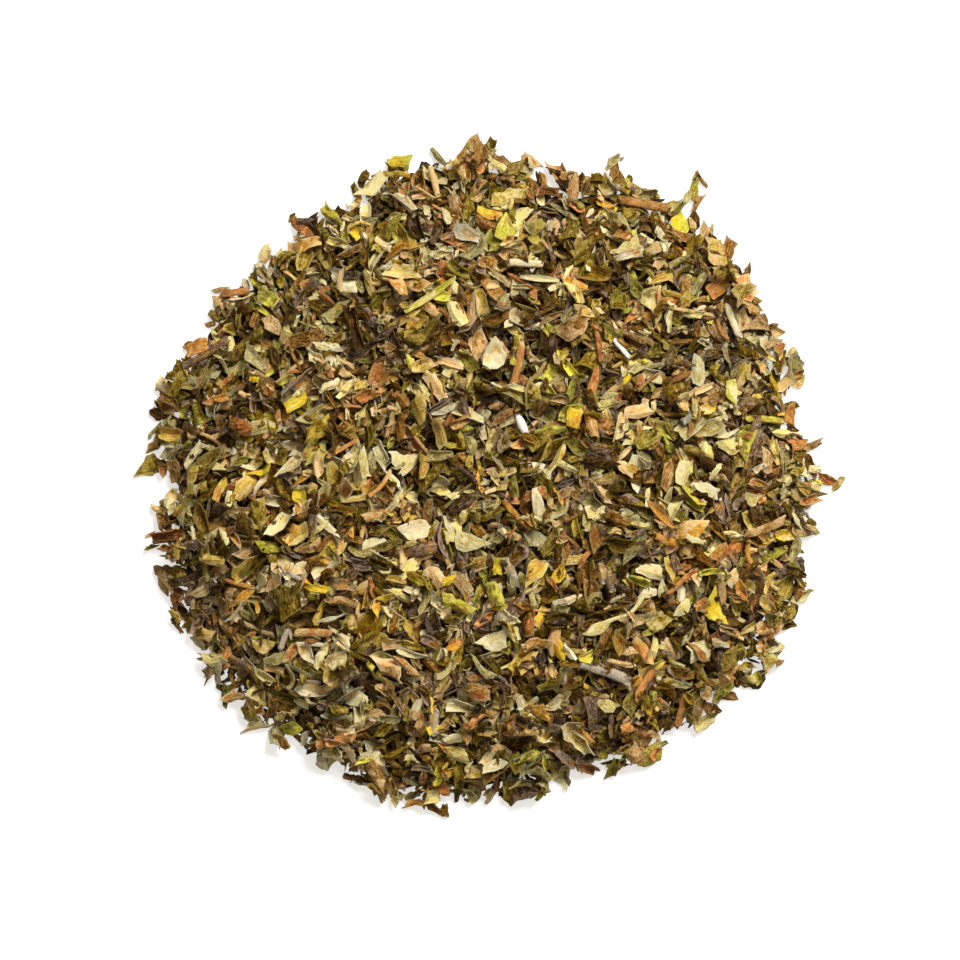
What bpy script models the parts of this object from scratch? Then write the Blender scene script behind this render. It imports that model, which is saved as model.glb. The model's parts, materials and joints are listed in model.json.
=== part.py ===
"""A low, round heap of loose leaf tea: broken leaf, curls, stems and one pip.

The heap stands on a flat underside, with +Z up and the origin at the middle of that underside.
Its small flakes are fused into one solid, leaf_heap. The flakes, stems and curls that stand out
are solids of their own, and each one is lowered onto the heap until it all but touches.
Run it with: blender --background --python part.py
"""

import math
import random
from collections import namedtuple

import bmesh
import bpy
from mathutils import Matrix, Vector, noise
from mathutils.bvhtree import BVHTree
from mathutils.geometry import delaunay_2d_cdt

MM = 0.001

# The mound under the flakes
HEAP_WIDTH = 86.0 * MM
MOUND_HEIGHT = 9.0 * MM
SHOULDER = 3.0  # higher is flatter on top and steeper at the sides
FALL = 0.75  # how the sides meet the table
BUMP_HEIGHT = 0.45 * MM
BUMP_SPACING = 6.0 * MM
CRUMPLE_HEIGHT = 1.1 * MM  # how far the facets between the flakes rise and fall
CRUMPLE_COUNT = 780
CRUMPLE_SHARE = 0.955  # of the rim's radius that the crumpled facets reach
CRUMPLE_FADE = 0.1  # share of the radius over which they calm down at the rim
CRUMPLE_SEED = 7
RIM_POINTS = 96
RIM_RAGGEDNESS = 0.8 * MM

# The outline's radius at every 15 degrees, anticlockwise from +X, for a heap of this width
DRAWN_WIDTH = 86.0 * MM
OUTLINE_MM = (
    43.0, 41.0, 42.5, 43.5, 43.0, 40.5, 43.0, 42.5, 41.5, 41.0, 42.0, 43.0,
    41.5, 43.0, 43.5, 42.5, 41.0, 42.5, 41.0, 39.5, 41.5, 41.5, 42.5, 42.5,
)  # fmt: skip

# The small flakes that are fused to the mound
FUSED_COUNT = 258
FUSED_SHARE = 0.94  # of the rim's radius that they reach
FUSED_LENGTH = (3.4 * MM, 6.0 * MM)
FUSED_SLIMNESS = (0.5, 0.85)
FUSED_THICKNESS = 0.45 * MM
FUSED_TILT = (14.0, 46.0)
FUSED_LIFT = 0.45 * MM
FUSED_SEED = 41
CUT_DEPTH = FUSED_LENGTH[1]  # of the skirt below the table, which is cut away with what dips into it
RIM_FLAKES = 44
RIM_FLAKE_SHARE = 0.975
RIM_FLAKE_SHIFT = 0.3  # of the step from one rim flake to the next
RIM_FLAKE_HEIGHT = (0.3 * MM, 1.3 * MM)
RIM_FLAKE_TILT = (2.0, 14.0)
STEM_EVERY = 6
STEM_SLIMNESS = 0.2
BED_CLOSENESS = 0.85  # how near a fused flake may come to a loose piece, 1 for no overlap
CORNER_COUNTS = (4, 5, 5, 6)
CORNER_SHIFT = 0.2  # of the step from one corner of a torn leaf to the next
CORNER_REACH = (0.78, 1.12)

# The pieces that are solids of their own
LEAF_THICKNESS = 0.35 * MM
LEAF_BEND = 0.5 * MM
LEAF_CORNERS = 8
LEAF_CORE = 0.55  # size of the inner ring of a leaf's points against its outline
CURL_WALL = 0.32 * MM
CURL_OPENING = 120.0  # degrees of the roll that stay open
CURL_STEPS = 6
STEM_FLATNESS = 0.75
STEM_BOW = 0.06  # of a stem's length
STEM_SLANT = 0.5
STEM_GIRTH = (0.85, 1.0)  # of the stem's width, at each station
STEM_SIDES = 6
ROUND_SIDES = 8
STALK_WIDTH = 0.55 * MM
ROUND_ANGLE = 40.0  # degrees up to which an edge is shaded round

# How a loose piece is lowered to its seat
GAP = 0.3 * MM  # between a piece and what carries it
LEAST_GAP = 0.6 * GAP
RIM_HOLD = 0.8 * MM  # how far inside the outline the middle of a piece stays
SLOPE_SHARES = (1.0, 0.75, 0.5, 0.25)  # of the mound's slope, tried for the lowest seat
DROP_FROM = 40.0 * MM
NUDGE = 0.05 * MM
UP = Vector((0.0, 0.0, 1.0))

# Base colour and roughness of each kind of leaf or stem
FINISHES = {
    "mixed_leaf": ((0.115, 0.090, 0.042), 0.7),
    "yellow_leaf": ((0.62, 0.47, 0.035), 0.6),
    "golden_leaf": ((0.48, 0.30, 0.05), 0.6),
    "cream_leaf": ((0.66, 0.60, 0.34), 0.65),
    "sage_leaf": ((0.36, 0.37, 0.17), 0.65),
    "lime_leaf": ((0.28, 0.30, 0.06), 0.6),
    "olive_leaf": ((0.17, 0.15, 0.05), 0.6),
    "green_leaf": ((0.11, 0.14, 0.06), 0.6),
    "brown_leaf": ((0.12, 0.075, 0.045), 0.65),
    "charcoal_leaf": ((0.045, 0.035, 0.028), 0.55),
    "rust_leaf": ((0.22, 0.085, 0.04), 0.65),
    "orange_stem": ((0.46, 0.19, 0.065), 0.65),
    "cream_stem": ((0.62, 0.55, 0.33), 0.6),
    "grey_stem": ((0.40, 0.36, 0.30), 0.65),
    "white_pip": ((0.82, 0.78, 0.66), 0.45),
}

# One loose piece: its shape, its middle from the heap's middle and its length and width, in
# millimetres for a heap of DRAWN_WIDTH, and the way it points in degrees from +X
Piece = namedtuple("Piece", "shape x y heading length width finish")
PIECES = {
    "rust_flake_top_left": Piece("flake", -24.8, 34.7, -40, 5.0, 1.6, "rust_leaf"),
    "yellow_square_chip": Piece("flake", -16.8, 32.4, 75, 1.9, 1.8, "yellow_leaf"),
    "golden_flake_top_left": Piece("flake", -23.1, 30.9, 0, 4.3, 2.1, "golden_leaf"),
    "orange_stem_left_rim": Piece("stem", -32.9, 25.1, 5, 3.6, 1.1, "orange_stem"),
    "sage_flake_top": Piece("flake", -14.7, 38.6, 55, 4.2, 2.2, "sage_leaf"),
    "olive_oval_flake": Piece("flake", -10.8, 27.2, -8, 4.3, 2.2, "sage_leaf"),
    "long_green_blade": Piece("stem", -6.9, 24.2, 35, 7.6, 1.2, "lime_leaf"),
    "cream_flake_upper_left": Piece("flake", -17.9, 25.3, -10, 2.7, 1.7, "cream_leaf"),
    "lime_flake_upper_left": Piece("flake", -28.0, 23.8, -35, 3.2, 2.0, "lime_leaf"),
    "yellow_flake_left": Piece("flake", -24.2, 10.4, 30, 3.4, 2.2, "yellow_leaf"),
    "orange_flake_left_tip": Piece("flake", -40.3, 18.9, 20, 3.3, 2.5, "golden_leaf"),
    "long_brown_stem": Piece("stem", -36.0, 16.8, 26, 6.9, 1.4, "brown_leaf"),
    "brown_flake_left": Piece("flake", -23.3, 18.6, 15, 5.4, 2.1, "brown_leaf"),
    "charcoal_needle_left": Piece("curl", -16.8, 19.9, -75, 5.9, 1.4, "charcoal_leaf"),
    "golden_strip_top": Piece("flake", -11.7, 41.0, -5, 3.4, 1.1, "golden_leaf"),
    "cream_stick_top": Piece("stem", -6.6, 39.0, -75, 4.0, 1.0, "cream_stem"),
    "big_orange_stem": Piece("stem", 20.3, 36.2, -7, 6.4, 1.4, "orange_stem"),
    "yellow_flake_top_right": Piece("flake", 25.2, 33.6, 80, 3.4, 3.1, "yellow_leaf"),
    "olive_flake_top": Piece("flake", 3.1, 37.2, 20, 5.0, 2.4, "olive_leaf"),
    "lime_flake_top": Piece("flake", 2.6, 32.6, 60, 3.2, 2.6, "lime_leaf"),
    "sage_flake_right": Piece("flake", 21.2, 23.7, 60, 2.9, 2.6, "sage_leaf"),
    "dark_green_flake_right": Piece("flake", 17.3, 23.4, 20, 2.7, 2.5, "green_leaf"),
    "cream_flake_middle": Piece("flake", 1.2, 16.3, 70, 3.8, 3.2, "cream_leaf"),
    "orange_stem_middle": Piece("stem", 4.2, 15.3, 78, 5.6, 1.2, "orange_stem"),
    "cream_stem_top": Piece("stem", 5.1, 28.3, -3, 4.3, 1.2, "cream_stem"),
    "cream_strip_top": Piece("stem", 7.0, 26.3, -6, 4.8, 1.1, "cream_stem"),
    "small_white_stem": Piece("stem", 17.5, 17.3, -50, 2.9, 0.8, "white_pip"),
    "white_pip": Piece("pip", 4.8, 7.3, -65, 3.1, 1.3, "white_pip"),
    "golden_flake_middle": Piece("flake", 11.4, 8.3, 50, 2.5, 2.4, "golden_leaf"),
    "lime_oval_right": Piece("flake", 31.7, 12.0, 90, 3.0, 1.7, "lime_leaf"),
    "yellow_flake_right": Piece("flake", 28.7, 9.6, 20, 2.4, 1.9, "yellow_leaf"),
    "cream_stem_right": Piece("stem", 32.1, 20.8, -70, 4.7, 1.1, "cream_stem"),
    "orange_stem_upper_right": Piece("stem", 14.6, 17.7, -82, 4.2, 0.9, "orange_stem"),
    "orange_flake_upper_right": Piece("flake", 30.4, 25.4, 30, 3.3, 2.4, "orange_stem"),
    "olive_twig_right": Piece("stem", 36.1, 8.2, 0, 5.7, 0.8, "lime_leaf"),
    "orange_flake_right_rim": Piece("flake", 40.6, 5.1, 5, 2.7, 1.5, "orange_stem"),
    "green_flake_right": Piece("flake", 20.7, 5.7, 40, 2.9, 2.6, "green_leaf"),
    "cream_flake_right": Piece("flake", 25.3, 1.2, 75, 3.8, 2.2, "cream_leaf"),
    "golden_fibrous_leaf": Piece("flake", 26.8, -5.9, 5, 4.4, 2.5, "golden_leaf"),
    "orange_blade_right": Piece("stem", 22.6, -4.0, -45, 5.0, 1.2, "orange_stem"),
    "cream_stick_middle": Piece("flake", 6.8, -2.6, -80, 4.9, 1.8, "cream_leaf"),
    "rust_twig_middle": Piece("stem", 4.0, -4.1, -46, 4.9, 0.8, "rust_leaf"),
    "charcoal_curl_middle": Piece("curl", -3.1, -2.7, 40, 3.3, 1.6, "charcoal_leaf"),
    "cream_flake_lower_left": Piece("flake", -8.7, -6.0, 20, 3.8, 2.8, "cream_leaf"),
    "rust_curl_left_tip": Piece("curl", -43.4, -7.3, 12, 4.8, 1.7, "rust_leaf"),
    "yellow_flake_lower_left": Piece("flake", -23.9, -1.6, 85, 2.5, 2.4, "yellow_leaf"),
    "yellow_strip_left": Piece("flake", -21.6, -13.5, -8, 3.9, 1.1, "yellow_leaf"),
    "dark_olive_leaf": Piece("flake", -25.1, -15.3, -80, 4.2, 3.2, "olive_leaf"),
    "orange_stem_lower_left": Piece("stem", -22.3, -19.3, 0, 4.8, 1.1, "orange_stem"),
    "cream_stem_lower_left": Piece("stem", -22.6, -20.8, 0, 3.7, 0.7, "cream_stem"),
    "grey_stem_lower_left": Piece("stem", -25.9, -20.0, 70, 2.4, 0.8, "grey_stem"),
    "lime_flake_bottom_left": Piece("flake", -25.1, -31.7, 40, 2.8, 2.4, "lime_leaf"),
    "brown_curl_bottom": Piece("curl", -14.0, -38.4, -65, 5.0, 1.8, "brown_leaf"),
    "lime_flake_lower": Piece("flake", 1.4, -14.4, -70, 3.6, 2.2, "lime_leaf"),
    "leaf_with_stalk": Piece("stalk", 14.6, -18.7, 0, 3.6, 1.9, "sage_leaf"),
    "yellow_flake_lower_right": Piece("flake", 29.5, -16.4, -60, 4.1, 3.0, "yellow_leaf"),
    "fibrous_stick_lower": Piece("stem", 15.6, -24.3, -22, 7.1, 1.5, "grey_stem"),
    "orange_stem_bottom_right": Piece("stem", 25.5, -29.5, 80, 4.1, 1.2, "orange_stem"),
    "olive_flake_right_tip": Piece("flake", 39.0, -13.3, 45, 3.6, 3.3, "olive_leaf"),
}  # fmt: skip


def clear_scene():
    for old in list(bpy.data.objects):
        bpy.data.objects.remove(old, do_unlink=True)


def make_finish(name):
    colour, roughness = FINISHES[name]
    finish = bpy.data.materials.new(name)
    finish.use_nodes = True
    shader = finish.node_tree.nodes["Principled BSDF"]
    shader.inputs["Base Color"].default_value = (*colour, 1.0)
    shader.inputs["Roughness"].default_value = roughness
    shader.inputs["Metallic"].default_value = 0.0
    return finish


def rim_radius(bearing):
    """The outline's radius at a bearing in radians, on a smooth curve through OUTLINE_MM."""
    count = len(OUTLINE_MM)
    place = (bearing / math.tau) % 1.0 * count
    first = int(place) % count
    share = place - int(place)
    smooth = (1.0 - math.cos(math.pi * share)) / 2.0
    near, far = OUTLINE_MM[first], OUTLINE_MM[(first + 1) % count]
    return (near + (far - near) * smooth) * MM * HEAP_WIDTH / DRAWN_WIDTH


def mound_height(x, y):
    share = math.hypot(x, y) / rim_radius(math.atan2(y, x))
    if share >= 1.0:
        return 0.0
    bump = noise.noise(Vector((x, y, 0.0)) / BUMP_SPACING) * BUMP_HEIGHT
    return (MOUND_HEIGHT + bump) * (1.0 - share**SHOULDER) ** FALL


def mound_normal(x, y):
    """The way out of the mound at a place, read over the span of a typical flake."""
    reach = FUSED_LENGTH[0] / 2.0
    along_x = mound_height(x + reach, y) - mound_height(x - reach, y)
    along_y = mound_height(x, y + reach) - mound_height(x, y - reach)
    return Vector((-along_x, -along_y, 2.0 * reach)).normalized()


def lie_along(normal, heading, tilt=0.0, tilt_bearing=0.0):
    """A turn that lays a flat piece square to a normal, then tips it by tilt degrees."""
    flat = UP.rotation_difference(normal).to_matrix()
    tip_axis = Vector((math.cos(tilt_bearing), math.sin(tilt_bearing), 0.0))
    tip = Matrix.Rotation(math.radians(tilt), 3, tip_axis)
    turn = Matrix.Rotation(math.radians(heading), 3, "Z")
    return (flat @ tip @ turn).to_4x4()


def new_mesh(name, points, faces):
    mesh = bpy.data.meshes.new(name)
    mesh.from_pydata(points, [], faces)
    mesh.validate()
    return mesh


def new_object(name, mesh, finish=None):
    made = bpy.data.objects.new(name, mesh)
    bpy.context.scene.collection.objects.link(made)
    if finish is not None:
        mesh.materials.append(finish)
    return made


def sunflower(count, most):
    """Evenly spread places over the heap, as a bearing and a share of the rim's radius."""
    golden_angle = math.pi * (3.0 - math.sqrt(5.0))
    for index in range(count):
        yield index * golden_angle, math.sqrt((index + 0.5) / count) * most


def place_at(bearing, share):
    radius = rim_radius(bearing) * share
    return radius * math.cos(bearing), radius * math.sin(bearing)


def mound_mesh():
    """A crumpled top of flat facets inside a ragged rim, a skirt below the table, a bottom."""
    dice = random.Random(CRUMPLE_SEED)
    rim = []
    for index in range(RIM_POINTS):
        bearing = math.tau * index / RIM_POINTS
        radius = rim_radius(bearing) + dice.uniform(-RIM_RAGGEDNESS, RIM_RAGGEDNESS)
        rim.append((radius * math.cos(bearing), radius * math.sin(bearing)))
    inside = []
    heights = []
    for bearing, share in sunflower(CRUMPLE_COUNT, CRUMPLE_SHARE):
        x, y = place_at(bearing, share)
        inside.append((x, y))
        crumple = 0.0 if is_bed(x, y, 0.0) else dice.uniform(-CRUMPLE_HEIGHT, CRUMPLE_HEIGHT)
        heights.append(mound_height(x, y) + crumple * min(1.0, (1.0 - share) / CRUMPLE_FADE))
    flat = [Vector(place) for place in [*rim, *inside]]
    edges = [(index, (index + 1) % RIM_POINTS) for index in range(RIM_POINTS)]
    inside_only, same_point = 1, 1e-9
    triangles = delaunay_2d_cdt(flat, edges, [], inside_only, same_point)[2]
    points = [(x, y, 0.0) for x, y in rim]
    points += [(x, y, z) for (x, y), z in zip(inside, heights, strict=True)]
    bottom = len(points)
    points += [(x, y, -CUT_DEPTH) for x, y in rim]
    faces = [tuple(face) for face in triangles]
    for near, far in edges:
        faces.append((near, bottom + near, bottom + far, far))
    faces.append(tuple(reversed(range(bottom, bottom + RIM_POINTS))))
    return new_mesh("mound", points, faces)


def prism_mesh(name, outline, thickness):
    """A flat plate with the given outline, centred on its own middle."""
    half = thickness / 2.0
    count = len(outline)
    points = [(x, y, -half) for x, y in outline] + [(x, y, half) for x, y in outline]
    faces = [tuple(reversed(range(count))), tuple(range(count, 2 * count))]
    for corner in range(count):
        after = (corner + 1) % count
        faces.append((corner, after, count + after, count + corner))
    return new_mesh(name, points, faces)


def broken_outline(dice, length, width, corners):
    """Corners of a torn leaf: a rough oval with some corners pulled in."""
    turn = dice.uniform(0.0, math.tau)
    outline = []
    for corner in range(corners):
        bearing = turn + math.tau * (corner + dice.uniform(-CORNER_SHIFT, CORNER_SHIFT)) / corners
        half = dice.uniform(*CORNER_REACH) / 2.0
        outline.append((length * half * math.cos(bearing), width * half * math.sin(bearing)))
    return outline


def distance_to_piece(x, y, piece):
    """How far a place is from the middle line of one of the loose pieces, seen from above."""
    scale = HEAP_WIDTH / DRAWN_WIDTH * MM
    way = math.radians(piece.heading)
    half = max(piece.length - piece.width, 0.0) / 2.0 * MM
    dx, dy = x - piece.x * scale, y - piece.y * scale
    along = dx * math.cos(way) + dy * math.sin(way)
    across = -dx * math.sin(way) + dy * math.cos(way)
    return math.hypot(max(abs(along) - half, 0.0), across)


def is_bed(x, y, length):
    """Whether a fused flake here would stand where a loose piece lies."""
    return any(
        distance_to_piece(x, y, piece) < (piece.width * MM + length) / 2.0 * BED_CLOSENESS
        for piece in PIECES.values()
    )


def fused_mesh(dice, length, is_stem):
    """A torn plate or a short square stick."""
    if is_stem:
        half, side = length / 2.0, length * STEM_SLIMNESS / 2.0
        outline = [(-half, -side), (half, -side), (half, side), (-half, side)]
        return prism_mesh("fused_stem", outline, 2.0 * side * STEM_FLATNESS)
    width = length * dice.uniform(*FUSED_SLIMNESS)
    outline = broken_outline(dice, length, width, dice.choice(CORNER_COUNTS))
    return prism_mesh("fused_flake", outline, FUSED_THICKNESS)


def scatter_fused_flakes(dice):
    """Torn plates and sticks over the mound, each part-sunk in it."""
    flakes = []
    for index, (bearing, share) in enumerate(sunflower(FUSED_COUNT, FUSED_SHARE)):
        x, y = place_at(bearing, share)
        length = dice.uniform(*FUSED_LENGTH)
        heading = dice.uniform(0.0, 360.0)
        tilt = dice.uniform(*FUSED_TILT)
        turn = lie_along(mound_normal(x, y), heading, tilt, dice.uniform(0.0, math.tau))
        mesh = fused_mesh(dice, length, index % STEM_EVERY == 0)
        if is_bed(x, y, length):
            continue
        mesh.transform(Matrix.Translation((x, y, mound_height(x, y) + FUSED_LIFT)) @ turn)
        flakes.append(bpy.data.objects.new(mesh.name, mesh))
    return flakes


def scatter_rim_flakes(dice):
    """Torn plates and sticks that lie almost flat round the foot of the mound."""
    flakes = []
    for index in range(RIM_FLAKES):
        shift = dice.uniform(-RIM_FLAKE_SHIFT, RIM_FLAKE_SHIFT)
        bearing = math.tau * (index + shift) / RIM_FLAKES
        x, y = place_at(bearing, RIM_FLAKE_SHARE)
        length = dice.uniform(*FUSED_LENGTH)
        heading = dice.uniform(0.0, 360.0)
        turn = lie_along(UP, heading, dice.uniform(*RIM_FLAKE_TILT), bearing + math.pi / 2.0)
        mesh = fused_mesh(dice, length, index % STEM_EVERY == 0)
        height = dice.uniform(*RIM_FLAKE_HEIGHT)
        if is_bed(x, y, length):
            continue
        mesh.transform(Matrix.Translation((x, y, height)) @ turn)
        flakes.append(bpy.data.objects.new(mesh.name, mesh))
    return flakes


def keep_outer_shell(mesh):
    """Deletes every shell but the largest, so that no hollow is sealed inside."""
    shape = bmesh.new()
    shape.from_mesh(mesh)
    unseen = set(shape.faces)
    shells = []
    while unseen:
        todo = [unseen.pop()]
        shell = []
        while todo:
            face = todo.pop()
            shell.append(face)
            for edge in face.edges:
                for other in edge.link_faces:
                    if other in unseen:
                        unseen.remove(other)
                        todo.append(other)
        shells.append(shell)
    largest = max(shells, key=lambda shell: sum(face.calc_area() for face in shell))
    for shell in shells:
        if shell is not largest:
            bmesh.ops.delete(shape, geom=shell, context="FACES")
    shape.to_mesh(mesh)
    shape.free()


def make_heap(finish):
    """The mound joined to its fused flakes, then cut off flat at the table."""
    heap = new_object("leaf_heap", mound_mesh(), finish)
    scattered = bpy.data.collections.new("fused_flakes")
    bpy.context.scene.collection.children.link(scattered)
    dice = random.Random(FUSED_SEED)
    for flake in [*scatter_fused_flakes(dice), *scatter_rim_flakes(dice)]:
        scattered.objects.link(flake)
    join = heap.modifiers.new("join_flakes", "BOOLEAN")
    join.operation = "UNION"
    join.operand_type = "COLLECTION"
    join.collection = scattered
    span = 2.0 * HEAP_WIDTH
    corners = [(-span, -span), (span, -span), (span, span), (-span, span)]
    table = new_object("table_cut", prism_mesh("table_cut", corners, 2.0 * CUT_DEPTH))
    table.location = (0.0, 0.0, -CUT_DEPTH)
    cut = heap.modifiers.new("cut_flat", "BOOLEAN")
    cut.operation = "DIFFERENCE"
    cut.object = table
    bpy.context.view_layer.update()
    evaluated = heap.evaluated_get(bpy.context.evaluated_depsgraph_get())
    mesh = bpy.data.meshes.new_from_object(evaluated)
    heap.modifiers.clear()
    heap.data = mesh
    for cutter in [*scattered.objects, table]:
        bpy.data.objects.remove(cutter, do_unlink=True)
    bpy.data.collections.remove(scattered)
    keep_outer_shell(mesh)
    return heap


def plate_mesh(name, dice, length, width):
    """A torn leaf: two skins over a bent surface, joined round the edge."""
    outer = broken_outline(dice, length, width, LEAF_CORNERS)
    inner = [(x * LEAF_CORE, y * LEAF_CORE) for x, y in outer]
    bend_along = LEAF_BEND * dice.uniform(-1.0, 1.0)
    bend_across = LEAF_BEND * dice.uniform(-0.5, 0.5)
    twist = LEAF_BEND * dice.uniform(-0.6, 0.6)

    def lift(x, y):
        u, v = 2.0 * x / length, 2.0 * y / width
        return bend_along * u * u + bend_across * v * v + twist * u * v

    points = []
    for side in (-LEAF_THICKNESS / 2.0, LEAF_THICKNESS / 2.0):
        for x, y in ((0.0, 0.0), *inner, *outer):
            points.append((x, y, lift(x, y) + side))
    count = len(outer)
    top = 1 + 2 * count
    faces = []
    for corner in range(count):
        after = (corner + 1) % count
        near, far = 1 + corner, 1 + after
        faces.append((top, top + near, top + far))
        faces.append((0, far, near))
        faces.append((top + near, top + near + count, top + far + count, top + far))
        faces.append((near, far, far + count, near + count))
        faces.append((near + count, far + count, top + far + count, top + near + count))
    return new_mesh(name, points, faces)


def loft_mesh(name, stations):
    """A closed skin through rings of points, all with as many points."""
    sides = len(stations[0])
    points = [point for ring in stations for point in ring]
    faces = []
    for ring in range(len(stations) - 1):
        for side in range(sides):
            after = (side + 1) % sides
            near, far = ring * sides, (ring + 1) * sides
            faces.append((near + side, near + after, far + after, far + side))
    last = (len(stations) - 1) * sides
    faces.append(tuple(reversed(range(sides))))
    faces.append(tuple(range(last, last + sides)))
    return new_mesh(name, points, faces)


def oval_ring(middle, way, half_width, half_height, sides):
    """Points of an oval section that faces along way, a direction in the flat."""
    across = Vector((-way.y, way.x, 0.0)).normalized() * half_width
    ring = []
    for side in range(sides):
        turn = math.tau * side / sides
        ring.append(middle + across * math.cos(turn) + UP * half_height * math.sin(turn))
    return ring


def stem_mesh(name, dice, length, width):
    """A short broken stem: six-sided, slightly bowed, with slanted ends."""
    bow = dice.uniform(-STEM_BOW, STEM_BOW) * length
    stations = []
    for share in (-1.0, -0.5, 0.0, 0.5, 1.0):
        middle = Vector((share * length / 2.0, bow * (share * share - 0.5), 0.0))
        way = Vector((length, 4.0 * bow * share, 0.0))
        half = width / 2.0 * dice.uniform(*STEM_GIRTH)
        ring = oval_ring(middle, way, half, half * STEM_FLATNESS, STEM_SIDES)
        if abs(share) == 1.0:
            slant = dice.uniform(-STEM_SLANT, STEM_SLANT)
            ring = [point + Vector((slant * (point.y - middle.y), 0.0, 0.0)) for point in ring]
        stations.append(ring)
    return loft_mesh(name, stations)


def pip_mesh(name, dice, length, width):
    """A smooth seed, a little blunter at one end."""
    blunt_end = dice.uniform(0.35, 0.4)
    profile = ((-1.0, blunt_end), (-0.8, 0.75), (-0.3, 1.0), (0.3, 0.95), (0.75, 0.65), (1.0, 0.25))
    stations = []
    for share, girth in profile:
        middle = Vector((share * length / 2.0, 0.0, 0.0))
        half = width / 2.0 * girth
        way = Vector((1.0, 0.0, 0.0))
        stations.append(oval_ring(middle, way, half, half * STEM_FLATNESS, ROUND_SIDES))
    return loft_mesh(name, stations)


def curl_mesh(name, dice, length, width):
    """A leaf rolled into a trough, narrower at its ends."""
    start = math.radians(90.0 + CURL_OPENING / 2.0)
    sweep = math.radians(360.0 - CURL_OPENING)
    turns = [start + sweep * step / (CURL_STEPS - 1) for step in range(CURL_STEPS)]
    stations = []
    for share, girth in ((-1.0, dice.uniform(0.6, 0.8)), (-0.4, 1.0), (0.3, 0.95), (1.0, 0.65)):
        outer = width / 2.0 * girth
        inner = outer - CURL_WALL
        x = share * length / 2.0
        ring = [Vector((x, outer * math.cos(turn), outer * math.sin(turn))) for turn in turns]
        ring += [Vector((x, inner * math.cos(turn), inner * math.sin(turn))) for turn in reversed(turns)]
        stations.append(ring)
    return loft_mesh(name, stations)


def stalk_mesh(name, dice, length, width):
    """A small leaf that runs into a long bent stalk with a blunt end."""
    stalk = STALK_WIDTH / 2.0
    knob = stalk * dice.uniform(1.6, 1.8)
    thin, leaf = LEAF_THICKNESS / 2.0, width / 2.0
    # Along and across in leaf lengths, then half the width and half the thickness
    spine = (
        (-0.58, -0.21, 0.35 * stalk, thin),
        (-0.33, -0.12, 0.75 * leaf, thin),
        (0.0, 0.0, leaf, thin),
        (0.22, 0.12, 0.7 * leaf, thin),
        (0.38, 0.29, stalk, stalk),
        (0.72, 0.40, stalk, stalk),
        (1.08, 0.48, stalk, stalk),
        (1.36, 0.78, stalk, stalk),
        (1.52, 1.08, knob, stalk),
        (1.62, 1.26, 0.6 * knob, stalk),
    )
    middles = [Vector((x * length, y * length, 0.0)) for x, y, _, _ in spine]
    stations = []
    for index, (_, _, half_width, half_height) in enumerate(spine):
        before, after = middles[max(index - 1, 0)], middles[min(index + 1, len(middles) - 1)]
        way = after - before
        stations.append(oval_ring(middles[index], way, half_width, half_height, ROUND_SIDES))
    return loft_mesh(name, stations)


SHAPES = {
    "flake": plate_mesh,
    "stem": stem_mesh,
    "pip": pip_mesh,
    "curl": curl_mesh,
    "stalk": stalk_mesh,
}


def sample_points(mesh):
    """Corners, middles of edges and middles of faces."""
    points = [vertex.co.copy() for vertex in mesh.vertices]
    points += [(points[a] + points[b]) / 2.0 for a, b in (edge.vertices for edge in mesh.edges)]
    points += [face.center.copy() for face in mesh.polygons]
    return points


def placed_shape(mesh, place):
    """A mesh moved to its place, as a search tree, its corners and its sample points."""
    moved = mesh.copy()
    moved.transform(place)
    corners = [vertex.co.copy() for vertex in moved.vertices]
    tree = BVHTree.FromPolygons(corners, [tuple(face.vertices) for face in moved.polygons])
    samples = sample_points(moved)
    bpy.data.meshes.remove(moved)
    return tree, corners, samples


def drop_onto(shape, ground):
    """How far a shape that hangs over the ground comes down before it would meet it."""
    own, _, samples = shape
    drops = [min(point.z for point in samples)]
    middle = sum(samples, Vector()) / len(samples)
    reach = max((point - middle).length for point in samples)
    for tree, corners, _ in ground:
        for point in samples:
            hit = tree.ray_cast(point, -UP)[0]
            if hit is not None:
                drops.append(point.z - hit.z - GAP)
        for corner in corners:
            if (corner - middle).xy.length < reach:
                hit = own.ray_cast(corner, UP)[0]
                if hit is not None:
                    drops.append(hit.z - corner.z - GAP)
    return min(drops)


def is_clear(shape, ground):
    """Whether a shape keeps most of its gap to everything under and beside it."""
    own, _, samples = shape
    for tree, _, _ in ground:
        if own.overlap(tree):
            return False
        if any(tree.find_nearest(point, LEAST_GAP)[0] is not None for point in samples):
            return False
    return True


def seat_on_slope(mesh, piece, x, y, slope_share, ground):
    """Where a piece comes to lie when it is turned to a share of the slope and lowered."""
    normal = UP.lerp(mound_normal(x, y), slope_share).normalized()
    turn = lie_along(normal, piece.heading)
    hung = placed_shape(mesh, Matrix.Translation((x, y, DROP_FROM)) @ turn)
    height = DROP_FROM - drop_onto(hung, ground)
    while True:
        place = Matrix.Translation((x, y, height)) @ turn
        if is_clear(placed_shape(mesh, place), ground):
            return place
        height += NUDGE


def lay_piece(name, piece, finish, ground):
    """Shapes one loose piece and gives it the lowest of the seats tried."""
    mesh = SHAPES[piece.shape](name, random.Random(name), piece.length * MM, piece.width * MM)
    spread = HEAP_WIDTH / DRAWN_WIDTH * MM
    bearing = math.atan2(piece.y, piece.x)
    far = min(math.hypot(piece.x, piece.y) * spread, rim_radius(bearing) - RIM_HOLD)
    x, y = far * math.cos(bearing), far * math.sin(bearing)
    seats = [seat_on_slope(mesh, piece, x, y, share, ground) for share in SLOPE_SHARES]
    place = min(seats, key=lambda seat: seat.translation.z)
    ground.append(placed_shape(mesh, place))
    placed = new_object(name, mesh, finish)
    placed.location = place.translation
    placed.rotation_euler = place.to_euler()
    return placed


def shade_round(made):
    made.data.shade_smooth()
    made.data.set_sharp_from_angle(angle=math.radians(ROUND_ANGLE))


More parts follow.
